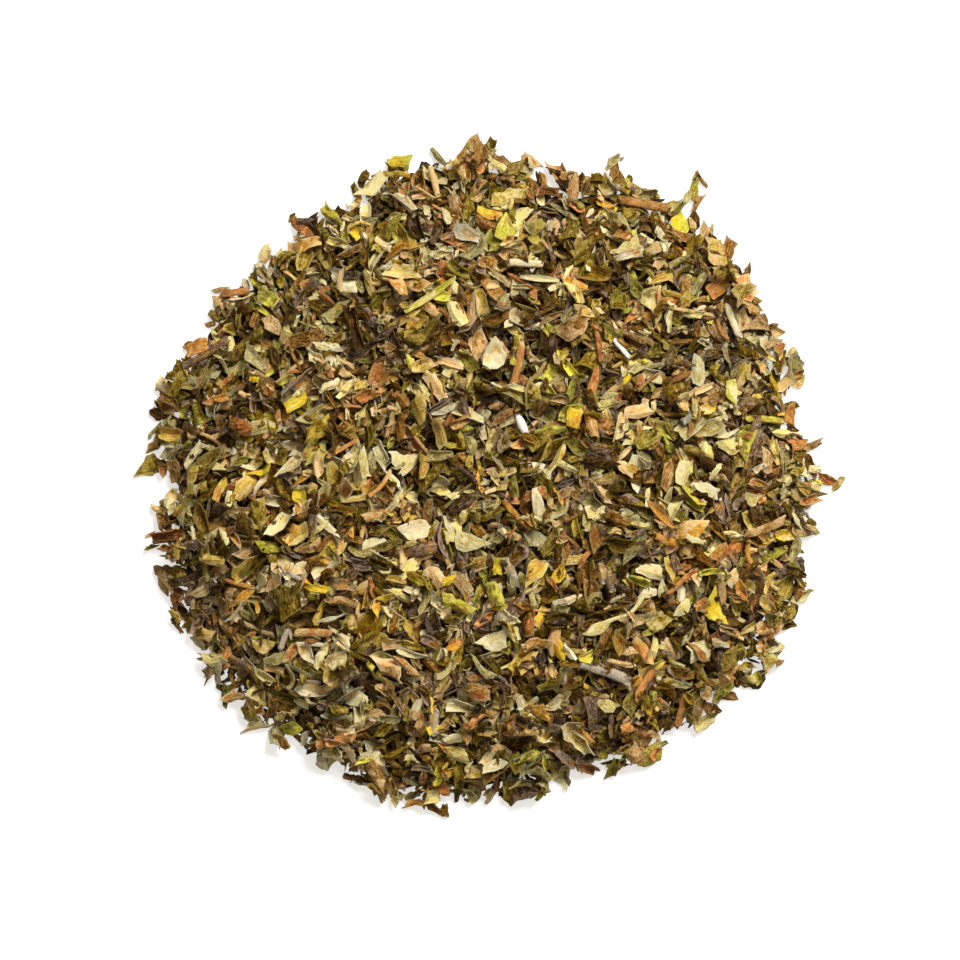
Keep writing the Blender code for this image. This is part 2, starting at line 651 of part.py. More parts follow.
def main():
    clear_scene()
    finishes = {name: make_finish(name) for name in FINISHES}
    heap = make_heap(finishes["mixed_leaf"])
    ground = [placed_shape(heap.data, Matrix())]
    for name, piece in PIECES.items():
        placed = lay_piece(name, piece, finishes[piece.finish], ground)
        if piece.shape != "flake":
            shade_round(placed)


main()
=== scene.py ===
# %% [markdown]
# # A heap of loose leaf tea
# The object is a low heap of broken leaf tea on a white table, seen from straight above. It is made
# of thousands of thin torn flakes, with rolled leaves, bits of stem and one white seed among them.
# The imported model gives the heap's height everywhere and the places of the pieces that stand out.
# This lesson dresses it: real flakes are laid one by one where the model says the heap is.

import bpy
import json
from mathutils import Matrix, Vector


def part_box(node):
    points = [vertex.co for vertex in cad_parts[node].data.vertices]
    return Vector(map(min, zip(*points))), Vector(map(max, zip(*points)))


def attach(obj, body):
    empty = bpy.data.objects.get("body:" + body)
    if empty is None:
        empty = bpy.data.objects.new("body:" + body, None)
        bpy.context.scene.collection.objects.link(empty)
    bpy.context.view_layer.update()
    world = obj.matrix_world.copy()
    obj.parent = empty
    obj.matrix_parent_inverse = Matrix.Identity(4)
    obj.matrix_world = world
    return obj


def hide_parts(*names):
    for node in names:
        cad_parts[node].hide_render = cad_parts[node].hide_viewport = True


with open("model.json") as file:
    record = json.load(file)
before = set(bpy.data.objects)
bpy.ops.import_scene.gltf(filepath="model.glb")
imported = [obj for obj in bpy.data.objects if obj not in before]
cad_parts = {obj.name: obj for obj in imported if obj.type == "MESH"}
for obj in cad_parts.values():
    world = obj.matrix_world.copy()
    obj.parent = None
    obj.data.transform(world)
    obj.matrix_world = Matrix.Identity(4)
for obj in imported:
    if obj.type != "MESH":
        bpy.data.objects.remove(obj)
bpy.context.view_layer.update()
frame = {"nodes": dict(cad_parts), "record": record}

# %% Modules and units
import json
import math
from collections import namedtuple

import bmesh
import bpy
import numpy as np
from mathutils import Vector
from mathutils.bvhtree import BVHTree

MM = 0.001
ROOT = "root"

# %% [markdown]
# ## Colours
# Dried leaf is never one colour. Reading the photograph gives about twenty tones, from
# charcoal through olive and brown to cream. Each is written as it looks on a screen and turned into
# the linear values that Blender's shaders work with.

# %% The tones of the leaf
SCREEN_TONES = {
    "charcoal": (58, 35, 5),
    "slate": (112, 88, 66),
    "umber": (96, 60, 10),
    "brown": (158, 113, 50),
    "tan": (216, 171, 106),
    "dark_olive": (98, 73, 5),
    "olive": (168, 138, 50),
    "moss": (136, 120, 38),
    "grey_green": (160, 143, 82),
    "sage": (216, 194, 116),
    "lime": (196, 184, 60),
    "pale_green": (237, 219, 152),
    "cream": (242, 223, 172),
    "straw": (234, 194, 124),
    "yellow": (234, 197, 47),
    "amber": (216, 155, 50),
    "orange": (208, 140, 72),
    "rust": (156, 94, 42),
    "ash": (200, 182, 152),
    "white": (242, 235, 220),
}


def linear(screen_colour):
    """A colour as written for a screen, 0 to 255, as the linear values of a shader."""
    parts = []
    for value in screen_colour:
        share = value / 255.0
        parts.append(share / 12.92 if share <= 0.04045 else ((share + 0.055) / 1.055) ** 2.4)
    return tuple(parts)


TONES = {name: linear(colour) for name, colour in SCREEN_TONES.items()}
print("tones:", len(TONES))

# %% [markdown]
# ## Shared effects as node groups
# Leaf, stem and seed share three effects: fibres that run along the piece, a second tone that comes
# through in patches, and a painted highlight along the outline, which makes the edge paler than the
# face. Each is a node group, so that all materials use the same one with their own values. A group
# puts out only colours, masks and heights; the Principled shader stays in each material.

# %% Helpers for node trees
def add_node(tree, kind, values=(), **settings):
    """A new node with its settings, and its input sockets set by name or number."""
    node = tree.nodes.new(kind)
    for name, setting in settings.items():
        setattr(node, name, setting)
    for socket, value in dict(values).items():
        node.inputs[socket].default_value = value
    return node


def new_group(name, inputs, outputs):
    """An empty shader group with named sockets, and its two end nodes."""
    group = bpy.data.node_groups.new(name, "ShaderNodeTree")
    for label, (kind, default) in inputs.items():
        socket = group.interface.new_socket(label, in_out="INPUT", socket_type=kind)
        socket.default_value = default
    for label, kind in outputs.items():
        group.interface.new_socket(label, in_out="OUTPUT", socket_type=kind)
    return group, group.nodes.new("NodeGroupInput"), group.nodes.new("NodeGroupOutput")


def use_group(tree, group, **values):
    """A group placed in a material, with the material's own values."""
    return add_node(tree, "ShaderNodeGroup", values, node_tree=group)


def calculated(tree, operation, *terms, clamp=False):
    """The output of a maths node; each term is a number or another node's output."""
    node = add_node(tree, "ShaderNodeMath", operation=operation, use_clamp=clamp)
    for socket, term in zip(node.inputs, terms):
        if isinstance(term, float):
            socket.default_value = term
        else:
            tree.links.new(term, socket)
    return node.outputs[0]


def mapped(tree, value, start, end):
    """The output of a node that maps one range of values to another."""
    node = add_node(tree, "ShaderNodeMapRange", {1: start[0], 2: start[1], 3: end[0], 4: end[1]})
    tree.links.new(value, node.inputs[0])
    return node.outputs[0]


def mixed_colour(tree, share, first, second):
    """The output of a node that mixes two colours by a share."""
    node = add_node(tree, "ShaderNodeMix", data_type="RGBA")
    for socket, value in ((0, share), (6, first), (7, second)):
        tree.links.new(value, node.inputs[socket])
    return node.outputs[2]


NUMBER, COLOUR, VECTOR = "NodeSocketFloat", "NodeSocketColor", "NodeSocketVector"
print("socket kinds:", NUMBER, COLOUR, VECTOR)

# %% Fibres that run along a piece
FIBRE_CONTRAST = 0.34
MOTTLE_CONTRAST = 0.3
MOTTLE_FINENESS = 2.6  # times as fine as the fibres
NOISE_RANGE = (0.36, 0.64)  # where most of a noise's values lie


def make_fibre_group():
    """Stretched noise for fibres and veins, and round noise for blisters."""
    group, ends_in, ends_out = new_group(
        "leaf_fibres",
        {
            "Place": (VECTOR, (0.0, 0.0, 0.0)),
            "Stretch": (NUMBER, 5.0),
            "Fineness": (NUMBER, 1.2),
            "Blisters": (NUMBER, 0.5),
        },
        {"Shade": NUMBER, "Mottle": NUMBER, "Height": NUMBER},
    )
    tree = group
    stretch = add_node(tree, "ShaderNodeCombineXYZ", {"X": 1.0})
    tree.links.new(ends_in.outputs["Stretch"], stretch.inputs["Y"])
    tree.links.new(ends_in.outputs["Stretch"], stretch.inputs["Z"])
    scaled = add_node(tree, "ShaderNodeVectorMath", operation="MULTIPLY")
    tree.links.new(ends_in.outputs["Place"], scaled.inputs[0])
    tree.links.new(stretch.outputs[0], scaled.inputs[1])
    fibres = add_node(tree, "ShaderNodeTexNoise", {"Detail": 3.0, "Roughness": 0.6})
    mottle = add_node(tree, "ShaderNodeTexNoise", {"Detail": 4.0, "Roughness": 0.65})
    tree.links.new(scaled.outputs[0], fibres.inputs["Vector"])
    tree.links.new(ends_in.outputs["Place"], mottle.inputs["Vector"])
    tree.links.new(ends_in.outputs["Fineness"], fibres.inputs["Scale"])
    finer = calculated(tree, "MULTIPLY", ends_in.outputs["Fineness"], MOTTLE_FINENESS)
    tree.links.new(finer, mottle.inputs["Scale"])
    height = add_node(tree, "ShaderNodeMix", data_type="FLOAT")
    tree.links.new(ends_in.outputs["Blisters"], height.inputs[0])
    tree.links.new(fibres.outputs[0], height.inputs[2])
    tree.links.new(mottle.outputs[0], height.inputs[3])
    powers = [
        mapped(tree, noise.outputs[0], NOISE_RANGE, (1.0 + contrast, 1.0 - contrast))
        for noise, contrast in ((fibres, FIBRE_CONTRAST), (mottle, MOTTLE_CONTRAST))
    ]
    tree.links.new(calculated(tree, "MULTIPLY", *powers), ends_out.inputs["Shade"])
    tree.links.new(mottle.outputs[0], ends_out.inputs["Mottle"])
    tree.links.new(height.outputs[0], ends_out.inputs["Height"])
    return group


FIBRES = make_fibre_group()
print("group:", FIBRES.name)

# %% A second tone in patches, and a painted highlight along the edge
PATCH_SHARPNESS = 9.0  # higher makes the border of a patch harder


def make_patch_group():
    """Mixes two tones by a soft-edged patch mask."""
    group, ends_in, ends_out = new_group(
        "leaf_patches",
        {
            "Tone": (COLOUR, (0.5, 0.5, 0.5, 1.0)),
            "Second tone": (COLOUR, (0.3, 0.3, 0.3, 1.0)),
            "Place": (VECTOR, (0.0, 0.0, 0.0)),
            "Patch scale": (NUMBER, 0.55),
            "Cover": (NUMBER, 0.5),
        },
        {"Colour": COLOUR},
    )
    tree = group
    noise = add_node(tree, "ShaderNodeTexNoise", {"Detail": 2.0, "Roughness": 0.55})
    tree.links.new(ends_in.outputs["Place"], noise.inputs["Vector"])
    tree.links.new(ends_in.outputs["Patch scale"], noise.inputs["Scale"])
    edge = calculated(tree, "SUBTRACT", 1.0, ends_in.outputs["Cover"])
    above = calculated(tree, "SUBTRACT", noise.outputs[0], edge)
    mask = calculated(tree, "MULTIPLY_ADD", above, PATCH_SHARPNESS, 0.5, clamp=True)
    tones = ends_in.outputs["Tone"], ends_in.outputs["Second tone"]
    tree.links.new(mixed_colour(tree, mask, *tones), ends_out.inputs["Colour"])
    return group


def make_edge_highlight_group():
    """A painted highlight: lightens a colour towards a piece's outline, from a value that is 1 along it."""
    group, ends_in, ends_out = new_group(
        "painted_edge_highlight",
        {
            "Colour": (COLOUR, (0.5, 0.5, 0.5, 1.0)),
            "Outline": (NUMBER, 0.0),
            "Sharpness": (NUMBER, 2.2),
            "Strength": (NUMBER, 0.5),
            "Highlight tone": (COLOUR, (0.7, 0.6, 0.35, 1.0)),
        },
        {"Colour": COLOUR},
    )
    tree = group
    sharp = calculated(tree, "POWER", ends_in.outputs["Outline"], ends_in.outputs["Sharpness"], clamp=True)
    mask = calculated(tree, "MULTIPLY", sharp, ends_in.outputs["Strength"], clamp=True)
    colours = ends_in.outputs["Colour"], ends_in.outputs["Highlight tone"]
    tree.links.new(mixed_colour(tree, mask, *colours), ends_out.inputs["Colour"])
    return group


PATCHES = make_patch_group()
EDGE_HIGHLIGHT = make_edge_highlight_group()
print("groups:", PATCHES.name, EDGE_HIGHLIGHT.name)

# %% [markdown]
# ## Materials
# One material per finish of the record. The tones themselves lie in the meshes as colour
# attributes, because one mesh holds thousands of flakes, each with its own colour. The material
# adds what happens inside a flake: patches, fibres, a painted highlight along the outline that
# makes the edge paler than the face, and a satin roughness that follows the mottle. A single flat
# colour per flake would look like confetti.

# %% The leaf finishes
# The column edge is the strength of the painted highlight along a flake's outline.
Finish = namedtuple("Finish", "roughness gloss stretch fineness cover edge relief")
FINISHES = {
    "mixed_leaf": Finish(0.62, 0.10, 2.5, 1.5, 0.46, 0.95, 0.5),
    "yellow_leaf": Finish(0.50, 0.12, 2.5, 1.3, 0.44, 0.3, 0.6),
    "golden_leaf": Finish(0.52, 0.10, 2.5, 1.5, 0.50, 0.5, 0.7),
    "cream_leaf": Finish(0.58, 0.10, 2.5, 1.2, 0.42, 0.3, 0.5),
    "sage_leaf": Finish(0.55, 0.10, 2.5, 1.4, 0.46, 0.6, 0.6),
    "lime_leaf": Finish(0.52, 0.12, 2.5, 1.4, 0.48, 0.6, 0.6),
    "olive_leaf": Finish(0.52, 0.08, 2.2, 1.5, 0.48, 0.95, 0.8),
    "green_leaf": Finish(0.52, 0.08, 2.2, 1.5, 0.48, 0.95, 0.8),
    "brown_leaf": Finish(0.55, 0.08, 3.0, 1.6, 0.48, 0.9, 0.9),
    "charcoal_leaf": Finish(0.46, 0.10, 3.5, 1.6, 0.46, 0.9, 0.9),
    "rust_leaf": Finish(0.55, 0.10, 4.0, 1.6, 0.48, 0.6, 0.9),
    "orange_stem": Finish(0.58, 0.12, 8.0, 1.6, 0.46, 0.5, 0.9),
    "cream_stem": Finish(0.55, 0.12, 8.0, 1.5, 0.40, 0.3, 0.8),
    "grey_stem": Finish(0.60, 0.12, 8.0, 1.6, 0.46, 0.4, 0.9),
    "white_pip": Finish(0.40, 0.25, 3.0, 0.8, 0.25, 0.0, 0.2),
}
RELIEF_DEPTH = 0.36 * MM
ROUGHNESS_SPREAD = 0.12
MOTTLE_RANGE = (0.3, 0.7)  # values of the mottle from smoothest to roughest
EDGE_POWER = 0.56  # lower makes the painted highlight along the edge paler than the face


def attribute_node(tree, name):
    """A node that reads an attribute of the mesh."""
    return add_node(tree, "ShaderNodeAttribute", attribute_name=name)


def leaf_material(name):
    """The material of one finish, which reads its tones from the mesh."""
    finish = FINISHES[name]
    material = bpy.data.materials.new(name)
    material.use_nodes = True
    tree = material.node_tree
    shader = tree.nodes["Principled BSDF"]
    place = attribute_node(tree, "leaf_place")
    fibres = use_group(tree, FIBRES, Stretch=finish.stretch, Fineness=finish.fineness)
    tree.links.new(place.outputs["Vector"], fibres.inputs["Place"])
    patches = use_group(tree, PATCHES, Cover=finish.cover)
    tone = attribute_node(tree, "leaf_tone")
    tree.links.new(tone.outputs["Color"], patches.inputs["Tone"])
    tree.links.new(attribute_node(tree, "leaf_second").outputs["Color"], patches.inputs["Second tone"])
    tree.links.new(place.outputs["Vector"], patches.inputs["Place"])
    shaded = tree.nodes.new("ShaderNodeGamma")
    tree.links.new(patches.outputs["Colour"], shaded.inputs["Color"])
    tree.links.new(fibres.outputs["Shade"], shaded.inputs["Gamma"])
    # The painted edge highlight: the flake's tone raised by a gamma below 1, mixed in towards its outline.
    highlight_tone = add_node(tree, "ShaderNodeGamma", {"Gamma": EDGE_POWER})
    tree.links.new(tone.outputs["Color"], highlight_tone.inputs["Color"])
    strength = calculated(tree, "MULTIPLY", tone.outputs["Alpha"], finish.edge)
    edge = use_group(tree, EDGE_HIGHLIGHT)
    tree.links.new(strength, edge.inputs["Strength"])
    tree.links.new(highlight_tone.outputs[0], edge.inputs["Highlight tone"])
    tree.links.new(shaded.outputs[0], edge.inputs["Colour"])
    tree.links.new(attribute_node(tree, "leaf_outline").outputs["Fac"], edge.inputs["Outline"])
    tree.links.new(edge.outputs["Colour"], shader.inputs["Base Color"])
    span = (finish.roughness - ROUGHNESS_SPREAD, finish.roughness + ROUGHNESS_SPREAD)
    rough = mapped(tree, fibres.outputs["Mottle"], MOTTLE_RANGE, span)
    tree.links.new(rough, shader.inputs["Roughness"])
    bump = add_node(tree, "ShaderNodeBump", {"Strength": finish.relief, "Distance": RELIEF_DEPTH})
    tree.links.new(fibres.outputs["Height"], bump.inputs["Height"])
    tree.links.new(bump.outputs[0], shader.inputs["Normal"])
    shader.inputs["Specular IOR Level"].default_value = finish.gloss
    return material


MATERIALS = {name: leaf_material(name) for name in FINISHES}
print("materials:", len(MATERIALS))

# %% [markdown]
# ## One torn sheet, many times over
# A flake is a thin sheet that was torn, dried and curled. It could be modelled by hand and copied,
# but copies show. Here a whole batch is worked out at once as arrays of points: a ragged outline,
# then a roll across the sheet, a fold along its middle, a bend along its length and a twist. Each
# sheet is then given a thickness, so that every flake is a closed solid with a real torn edge.

# %% Bending a batch of sheets
Sheets = namedtuple("Sheets", "points normals place")
CRUMPLE = 0.09  # mm that a point of a sheet strays up or down
CREASE = 0.45  # radians, the most that a crease across a sheet turns it to each side
WAVE = 0.3  # radians, the same for its slow wave
CREASE_PLACES = (-0.6, 0.6)  # where a crease lies, from one end at -1 to the other at 1
SHARP_TURN = 0.12  # share of a sheet that a crease or a fold is wide
OUTWARD_SHARE = 0.3  # of the raggedness goes outwards and the rest inwards
TIP_SHARPNESS = (0.8, 2.2)  # lower starts to narrow a sheet nearer its middle
UNEVEN_ROLL = 0.5
GRAIN_SCATTER = 400.0  # mm, so that no two flakes share a stretch of grain


def drawn(dice, low, high, count):
    """One random number for each flake."""
    return dice.uniform(low, high, (count, 1, 1))


def cumulative(steps, axis):
    """Running sums that start at zero in the middle of the axis."""
    start = np.zeros_like(np.take(steps, [0], axis=axis))
    sums = np.cumsum(np.concatenate([start, steps], axis=axis), axis=axis)
    middle = np.take(sums, [sums.shape[axis] // 2], axis=axis)
    return sums - middle


def between(values, axis):
    """The values halfway between neighbours."""
    count = values.shape[axis]
    before = np.take(values, range(count - 1), axis=axis)
    after = np.take(values, range(1, count), axis=axis)
    return (before + after) / 2.0


def bent_sheets(dice, length, width, along, across, curl, fold, bend, twist, taper, ragged):
    """Torn and bent sheets in mm, as points[flake, along, across, xyz] round their middles."""
    count = len(length)
    length, width = length.reshape(-1, 1, 1), width.reshape(-1, 1, 1)
    u = np.linspace(-1.0, 1.0, along).reshape(1, -1, 1)
    v = np.linspace(-1.0, 1.0, across).reshape(1, 1, -1)
    sides = dice.uniform(1.0 - ragged, 1.0 + OUTWARD_SHARE * ragged, (count, along, 2))
    side = np.where(v < 0.0, sides[:, :, :1], sides[:, :, 1:])
    ends = dice.uniform(*taper, (count, 2, 1, 1))
    sharpness = drawn(dice, *TIP_SHARPNESS, count)
    narrowing = 1.0 - np.where(u < 0.0, ends[:, 0], ends[:, 1]) * np.abs(u) ** sharpness
    s = v * side * narrowing * width / 2.0
    slants = dice.uniform(-1.0, 1.0, (count, 2, 1, 1))
    shift = np.where(u < 0.0, slants[:, 0], slants[:, 1]) * u * u * s
    shift = shift + dice.uniform(-1.0, 1.0, (count, along, across)) * ragged * length / along
    sign = dice.choice((-1.0, 1.0), (count, 1, 1))
    rolled = drawn(dice, *curl, count) * (1.0 + drawn(dice, -UNEVEN_ROLL, UNEVEN_ROLL, count) * u)
    turn = sign * (rolled * s / width + drawn(dice, *fold, count) * np.tanh(s / (SHARP_TURN * width)))
    y = cumulative(np.cos(between(turn, 2)) * np.diff(s, axis=2), 2)
    z = cumulative(np.sin(between(turn, 2)) * np.diff(s, axis=2), 2)
    roll = drawn(dice, -twist, twist, count) * u
    y, z = y * np.cos(roll) - z * np.sin(roll), y * np.sin(roll) + z * np.cos(roll)
    wave = drawn(dice, -WAVE, WAVE, count) * np.sin(3.0 * u + drawn(dice, 0.0, 6.0, count))
    depth = drawn(dice, -CREASE, CREASE, count)
    crease = depth * np.tanh((u - drawn(dice, *CREASE_PLACES, count)) / SHARP_TURN)
    rise = drawn(dice, -bend, bend, count) * u / 2.0 + wave + crease
    step = length / (along - 1)
    middle_x = cumulative(np.cos(between(rise, 1)) * step, 1)
    middle_z = cumulative(np.sin(between(rise, 1)) * step, 1)
    z = z + dice.normal(0.0, CRUMPLE, z.shape) * np.minimum(width, 1.0)
    points = np.stack(
        [
            middle_x + shift * np.cos(rise) - z * np.sin(rise),
            y,
            middle_z + shift * np.sin(rise) + z * np.cos(rise),
        ],
        axis=-1,
    )
    points -= points.mean(axis=(1, 2), keepdims=True)
    normals = np.cross(np.gradient(points, axis=1), np.gradient(points, axis=2))
    normals /= np.linalg.norm(normals, axis=-1, keepdims=True) + 1e-9
    scatter = drawn(dice, 0.0, GRAIN_SCATTER, count)
    place = np.stack(np.broadcast_arrays(u * length / 2.0, s, scatter), axis=-1)
    return Sheets(points, normals, place)


trial = bent_sheets(
    np.random.default_rng(1),
    length=np.full(4, 3.0),
    width=np.full(4, 1.5),
    along=6,
    across=5,
    curl=(0.5, 2.0),
    fold=(0.0, 0.4),
    bend=0.6,
    twist=0.4,
    taper=(0.1, 0.6),
    ragged=0.2,
)
print("trial batch:", trial.points.shape)

# %% Closing the sheets, and rods for stems
Form = namedtuple("Form", "faces cell_uv outline")
UNDERSIDE_GRAIN = (0.0, 0.0, 7.0)  # mm from the grain of a sheet's upper side
ROD_MARGIN = 0.05  # of the unit cell
ROD_SWELLING = 0.1  # share that a stem is thicker or thinner along its length
ROD_LUMPS = 0.04  # the same from point to point
SPLINTER = 0.5  # of a stem's width, the most that its broken end sticks out or falls short


def sheet_form(along, across):
    """Faces of a closed sheet, their places in a unit cell, and which points lie on the outline."""
    index = np.arange(along * across).reshape(along, across)
    quads = [index[:-1, :-1], index[1:, :-1], index[1:, 1:], index[:-1, 1:]]
    top = np.stack(quads, axis=-1).reshape(-1, 4)
    loop = np.concatenate([index[:, 0], index[-1, 1:], index[-2::-1, -1], index[0, -2:0:-1]])
    after = np.roll(loop, -1)
    under = along * across
    rim = np.stack([loop + under, after + under, after, loop], axis=-1)
    faces = np.concatenate([top, top[:, ::-1] + under, rim])
    spans = np.linspace(0.03, 0.47, along), np.linspace(0.06, 0.94, across)
    upper = np.stack(np.meshgrid(*spans, indexing="ij"), axis=-1).reshape(-1, 2)
    unit = np.concatenate([upper, upper + (0.5, 0.0)])
    cell_uv = unit[faces]
    cell_uv[-len(rim) :, 0] = unit[loop]
    cell_uv[-len(rim) :, 1] = unit[after]
    outline = np.zeros(under)
    outline[loop] = 1.0
    return Form(faces, cell_uv, np.tile(outline, 2))


def thickened(sheets, thickness):
    """Both skins of each sheet as points[flake, point, xyz], with the places for the grain."""
    count = len(sheets.points)
    half = np.reshape(thickness, (-1, 1, 1, 1)) / 2.0
    skins = [sheets.points + sheets.normals * half, sheets.points - sheets.normals * half]
    points = np.concatenate([skin.reshape(count, -1, 3) for skin in skins], axis=1)
    flat = sheets.place.reshape(count, -1, 3)
    return points, np.concatenate([flat, flat + UNDERSIDE_GRAIN], axis=1)


def rod_form(stations, sides):
    """Faces of a closed rod with eight sides; each end is closed by three faces."""
    index = np.arange(stations * sides).reshape(stations, sides)
    after = np.roll(index, -1, axis=1)
    skin = np.stack([index[:-1], after[:-1], after[1:], index[1:]], axis=-1).reshape(-1, 4)
    cap = np.array([(0, 1, 2, 3), (0, 3, 4, 7), (4, 5, 6, 7)])
    last = (stations - 1) * sides
    faces = np.concatenate([skin, cap[:, ::-1], cap + last])
    spans = np.arange(stations - 1), np.arange(sides)
    start = np.stack(np.meshgrid(*spans, indexing="ij"), axis=-1).reshape(-1, 1, 2)
    corners = start + np.array([(0, 0), (0, 1), (1, 1), (1, 0)])
    room = 1.0 - 2.0 * ROD_MARGIN
    cell_uv = ROD_MARGIN + room * corners / np.array([stations - 1, sides])
    ends = np.full((len(cap), 4, 2), ROD_MARGIN)
    cell_uv = np.concatenate([cell_uv, ends, ends + (room, 0.0)])
    outline = np.zeros(stations * sides)
    outline[:sides] = 1.0
    outline[last:] = 1.0
    return Form(faces, cell_uv, outline)


def bent_rods(dice, length, width, stations, sides, flatness=0.7, ridges=0.12, bend=0.35):
    """Broken stems in mm: ridged, slightly bowed, with splintered ends."""
    count = len(length)
    length, width = length.reshape(-1, 1, 1), width.reshape(-1, 1, 1)
    u = np.linspace(-1.0, 1.0, stations).reshape(1, -1, 1)
    angle = (math.tau * np.arange(sides) / sides).reshape(1, 1, -1)
    radius = width / 2.0 * (1.0 + dice.uniform(-ridges, ridges, (count, 1, sides)))
    radius = radius * (1.0 + dice.uniform(-ROD_SWELLING, ROD_SWELLING, (count, stations, 1)))
    radius = radius * (1.0 + dice.normal(0.0, ROD_LUMPS, (count, stations, sides)))
    splinter = dice.uniform(-SPLINTER, SPLINTER, (count, 1, sides)) * width * np.abs(u) ** 8
    x = u * length / 2.0 + splinter
    arc = drawn(dice, -bend, bend, count) * length / 2.0
    y = radius * np.cos(angle) + arc * (u * u - 0.4)
    z = radius * flatness * np.sin(angle) + arc * 0.4 * np.sin(2.0 * u)
    points = np.stack(np.broadcast_arrays(x, y, z), axis=-1)
    place = points + dice.uniform(0.0, GRAIN_SCATTER, (count, 1, 1, 3))
    return Sheets(points, None, place)


print("faces a flake:", len(sheet_form(6, 5).faces), "a rolled leaf:", len(sheet_form(5, 7).faces))

# %% [markdown]
# ## From arrays to one mesh
# Thousands of objects would be slow to render and to export, so flakes of a kind are one mesh. Each
# flake carries its tones and its own coordinates as attributes. A UV map gives every flake its own
# little square, so that nothing overlaps when the colours are baked for other programs.

# %% Building a mesh from a batch
EDGE_RARITY = 0.8  # higher leaves fewer flakes with a strong painted edge highlight
SHARP_ANGLE = 28.0


def mesh_of(name, points, form, places, tones, seconds):
    """One mesh of a whole batch: points[flake, point, xyz] in metres."""
    count, per_flake = points.shape[:2]
    offsets = (np.arange(count) * per_flake).reshape(-1, 1, 1)
    faces = (form.faces[None] + offsets).reshape(-1, 4)
    mesh = bpy.data.meshes.new(name)
    mesh.vertices.add(count * per_flake)
    mesh.vertices.foreach_set("co", points.reshape(-1).astype(np.float32))
    mesh.loops.add(faces.size)
    mesh.loops.foreach_set("vertex_index", faces.reshape(-1).astype(np.int32))
    mesh.polygons.add(len(faces))
    mesh.polygons.foreach_set("loop_start", np.arange(0, faces.size, 4, dtype=np.int32))
    mesh.update(calc_edges=True)
    across = math.ceil(math.sqrt(count))
    squares = np.stack([np.arange(count) % across, np.arange(count) // across], axis=-1)
    bake = (squares.reshape(-1, 1, 1, 2) + form.cell_uv[None]) / across
    mesh.uv_layers.new(name="OFBake").uv.foreach_set("vector", bake.reshape(-1).astype(np.float32))
    # Each flake's strength of the painted edge highlight, kept in the alpha of its tones.
    highlight_strength = np.random.default_rng(count).random((count, 1)) ** EDGE_RARITY
    for label, values in (("leaf_tone", tones), ("leaf_second", seconds)):
        full = np.repeat(np.concatenate([values, highlight_strength], axis=1), per_flake, axis=0)
        colours = mesh.color_attributes.new(label, "FLOAT_COLOR", "POINT")
        colours.data.foreach_set("color", full.reshape(-1).astype(np.float32))
    place = mesh.attributes.new("leaf_place", "FLOAT_VECTOR", "POINT")
    place.data.foreach_set("vector", places.reshape(-1).astype(np.float32))
    outline = mesh.attributes.new("leaf_outline", "FLOAT", "POINT")
    outline.data.foreach_set("value", np.tile(form.outline, count).astype(np.float32))
    mesh.shade_smooth()
    mesh.set_sharp_from_angle(angle=math.radians(SHARP_ANGLE))
    return mesh


def tone_whole(mesh, tone, second):
    """One tone and one partner for a mesh without a painted edge highlight, with its own places as grain."""
    for label, colour in (("leaf_tone", tone), ("leaf_second", second)):
        colours = mesh.color_attributes.new(label, "FLOAT_COLOR", "POINT")
        colours.data.foreach_set("color", np.tile((*colour, 1.0), len(mesh.vertices)))
    corners = np.array([tuple(vertex.co) for vertex in mesh.vertices]) / MM
    place = mesh.attributes.new("leaf_place", "FLOAT_VECTOR", "POINT")
    place.data.foreach_set("vector", corners.reshape(-1).astype(np.float32))
    mesh.attributes.new("leaf_outline", "FLOAT", "POINT")


def add_piece(name, mesh, finish, *nodes):
    """Puts a finished mesh in the scene as a piece that stands for some of the model's nodes."""
    piece = bpy.data.objects.new(name, mesh)
    bpy.context.scene.collection.objects.link(piece)
    mesh.materials.clear()
    mesh.materials.append(MATERIALS[finish])
    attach(piece, ROOT)
    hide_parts(*nodes)
    return piece


print("helpers ready")

# %% [markdown]
# ## Where the heap is
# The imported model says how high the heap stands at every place. Rays cast down onto it give a
# height map, which is the level that the flakes are laid up to. Rays cast up give the undersides of
# the pieces that stand out, so that no loose flake is laid through or over one of them.

# %% Height maps of the model
PITCH = 0.2  # mm
REACH = 50.0  # mm that the maps cover on each side of the middle
CELLS = round(2.0 * REACH / PITCH)
HIGH = 60.0  # mm, above everything


def cell(values):
    """The map's row or column for places in mm."""
    return np.clip(((values + REACH) / PITCH).astype(int), 0, CELLS - 1)


def place_of(index):
    """The middle of a row or column of cells, in mm."""
    return (index + 0.5) * PITCH - REACH


def hit_map(node, height, direction):
    """How high rays that start at one height meet a node, in mm over each cell, and nan beside it."""
    mesh = frame["nodes"][node].data
    corners = [vertex.co for vertex in mesh.vertices]
    tree = BVHTree.FromPolygons(corners, [tuple(face.vertices) for face in mesh.polygons])
    low, high = (cell(np.array(corner) / MM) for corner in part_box(node))
    hits = np.full((CELLS, CELLS), np.nan)
    for row in range(low[1], high[1] + 1):
        for column in range(low[0], high[0] + 1):
            start = Vector((place_of(column) * MM, place_of(row) * MM, height * MM))
            hit = tree.ray_cast(start, Vector(direction))[0]
            if hit is not None:
                hits[row, column] = hit.z / MM
    return hits


def height_map(node):
    """How high the top of a node stands over each cell, in mm, and 0 beside it."""
    return np.nan_to_num(hit_map(node, HIGH, (0.0, 0.0, -1.0)))


def lid_map(nodes):
    """How high the lowest underside of these nodes is over each cell, in mm."""
    lowest = np.full((CELLS, CELLS), HIGH)
    for node in nodes:
        lowest = np.fmin(lowest, hit_map(node, -HIGH, (0.0, 0.0, 1.0)))
    return lowest


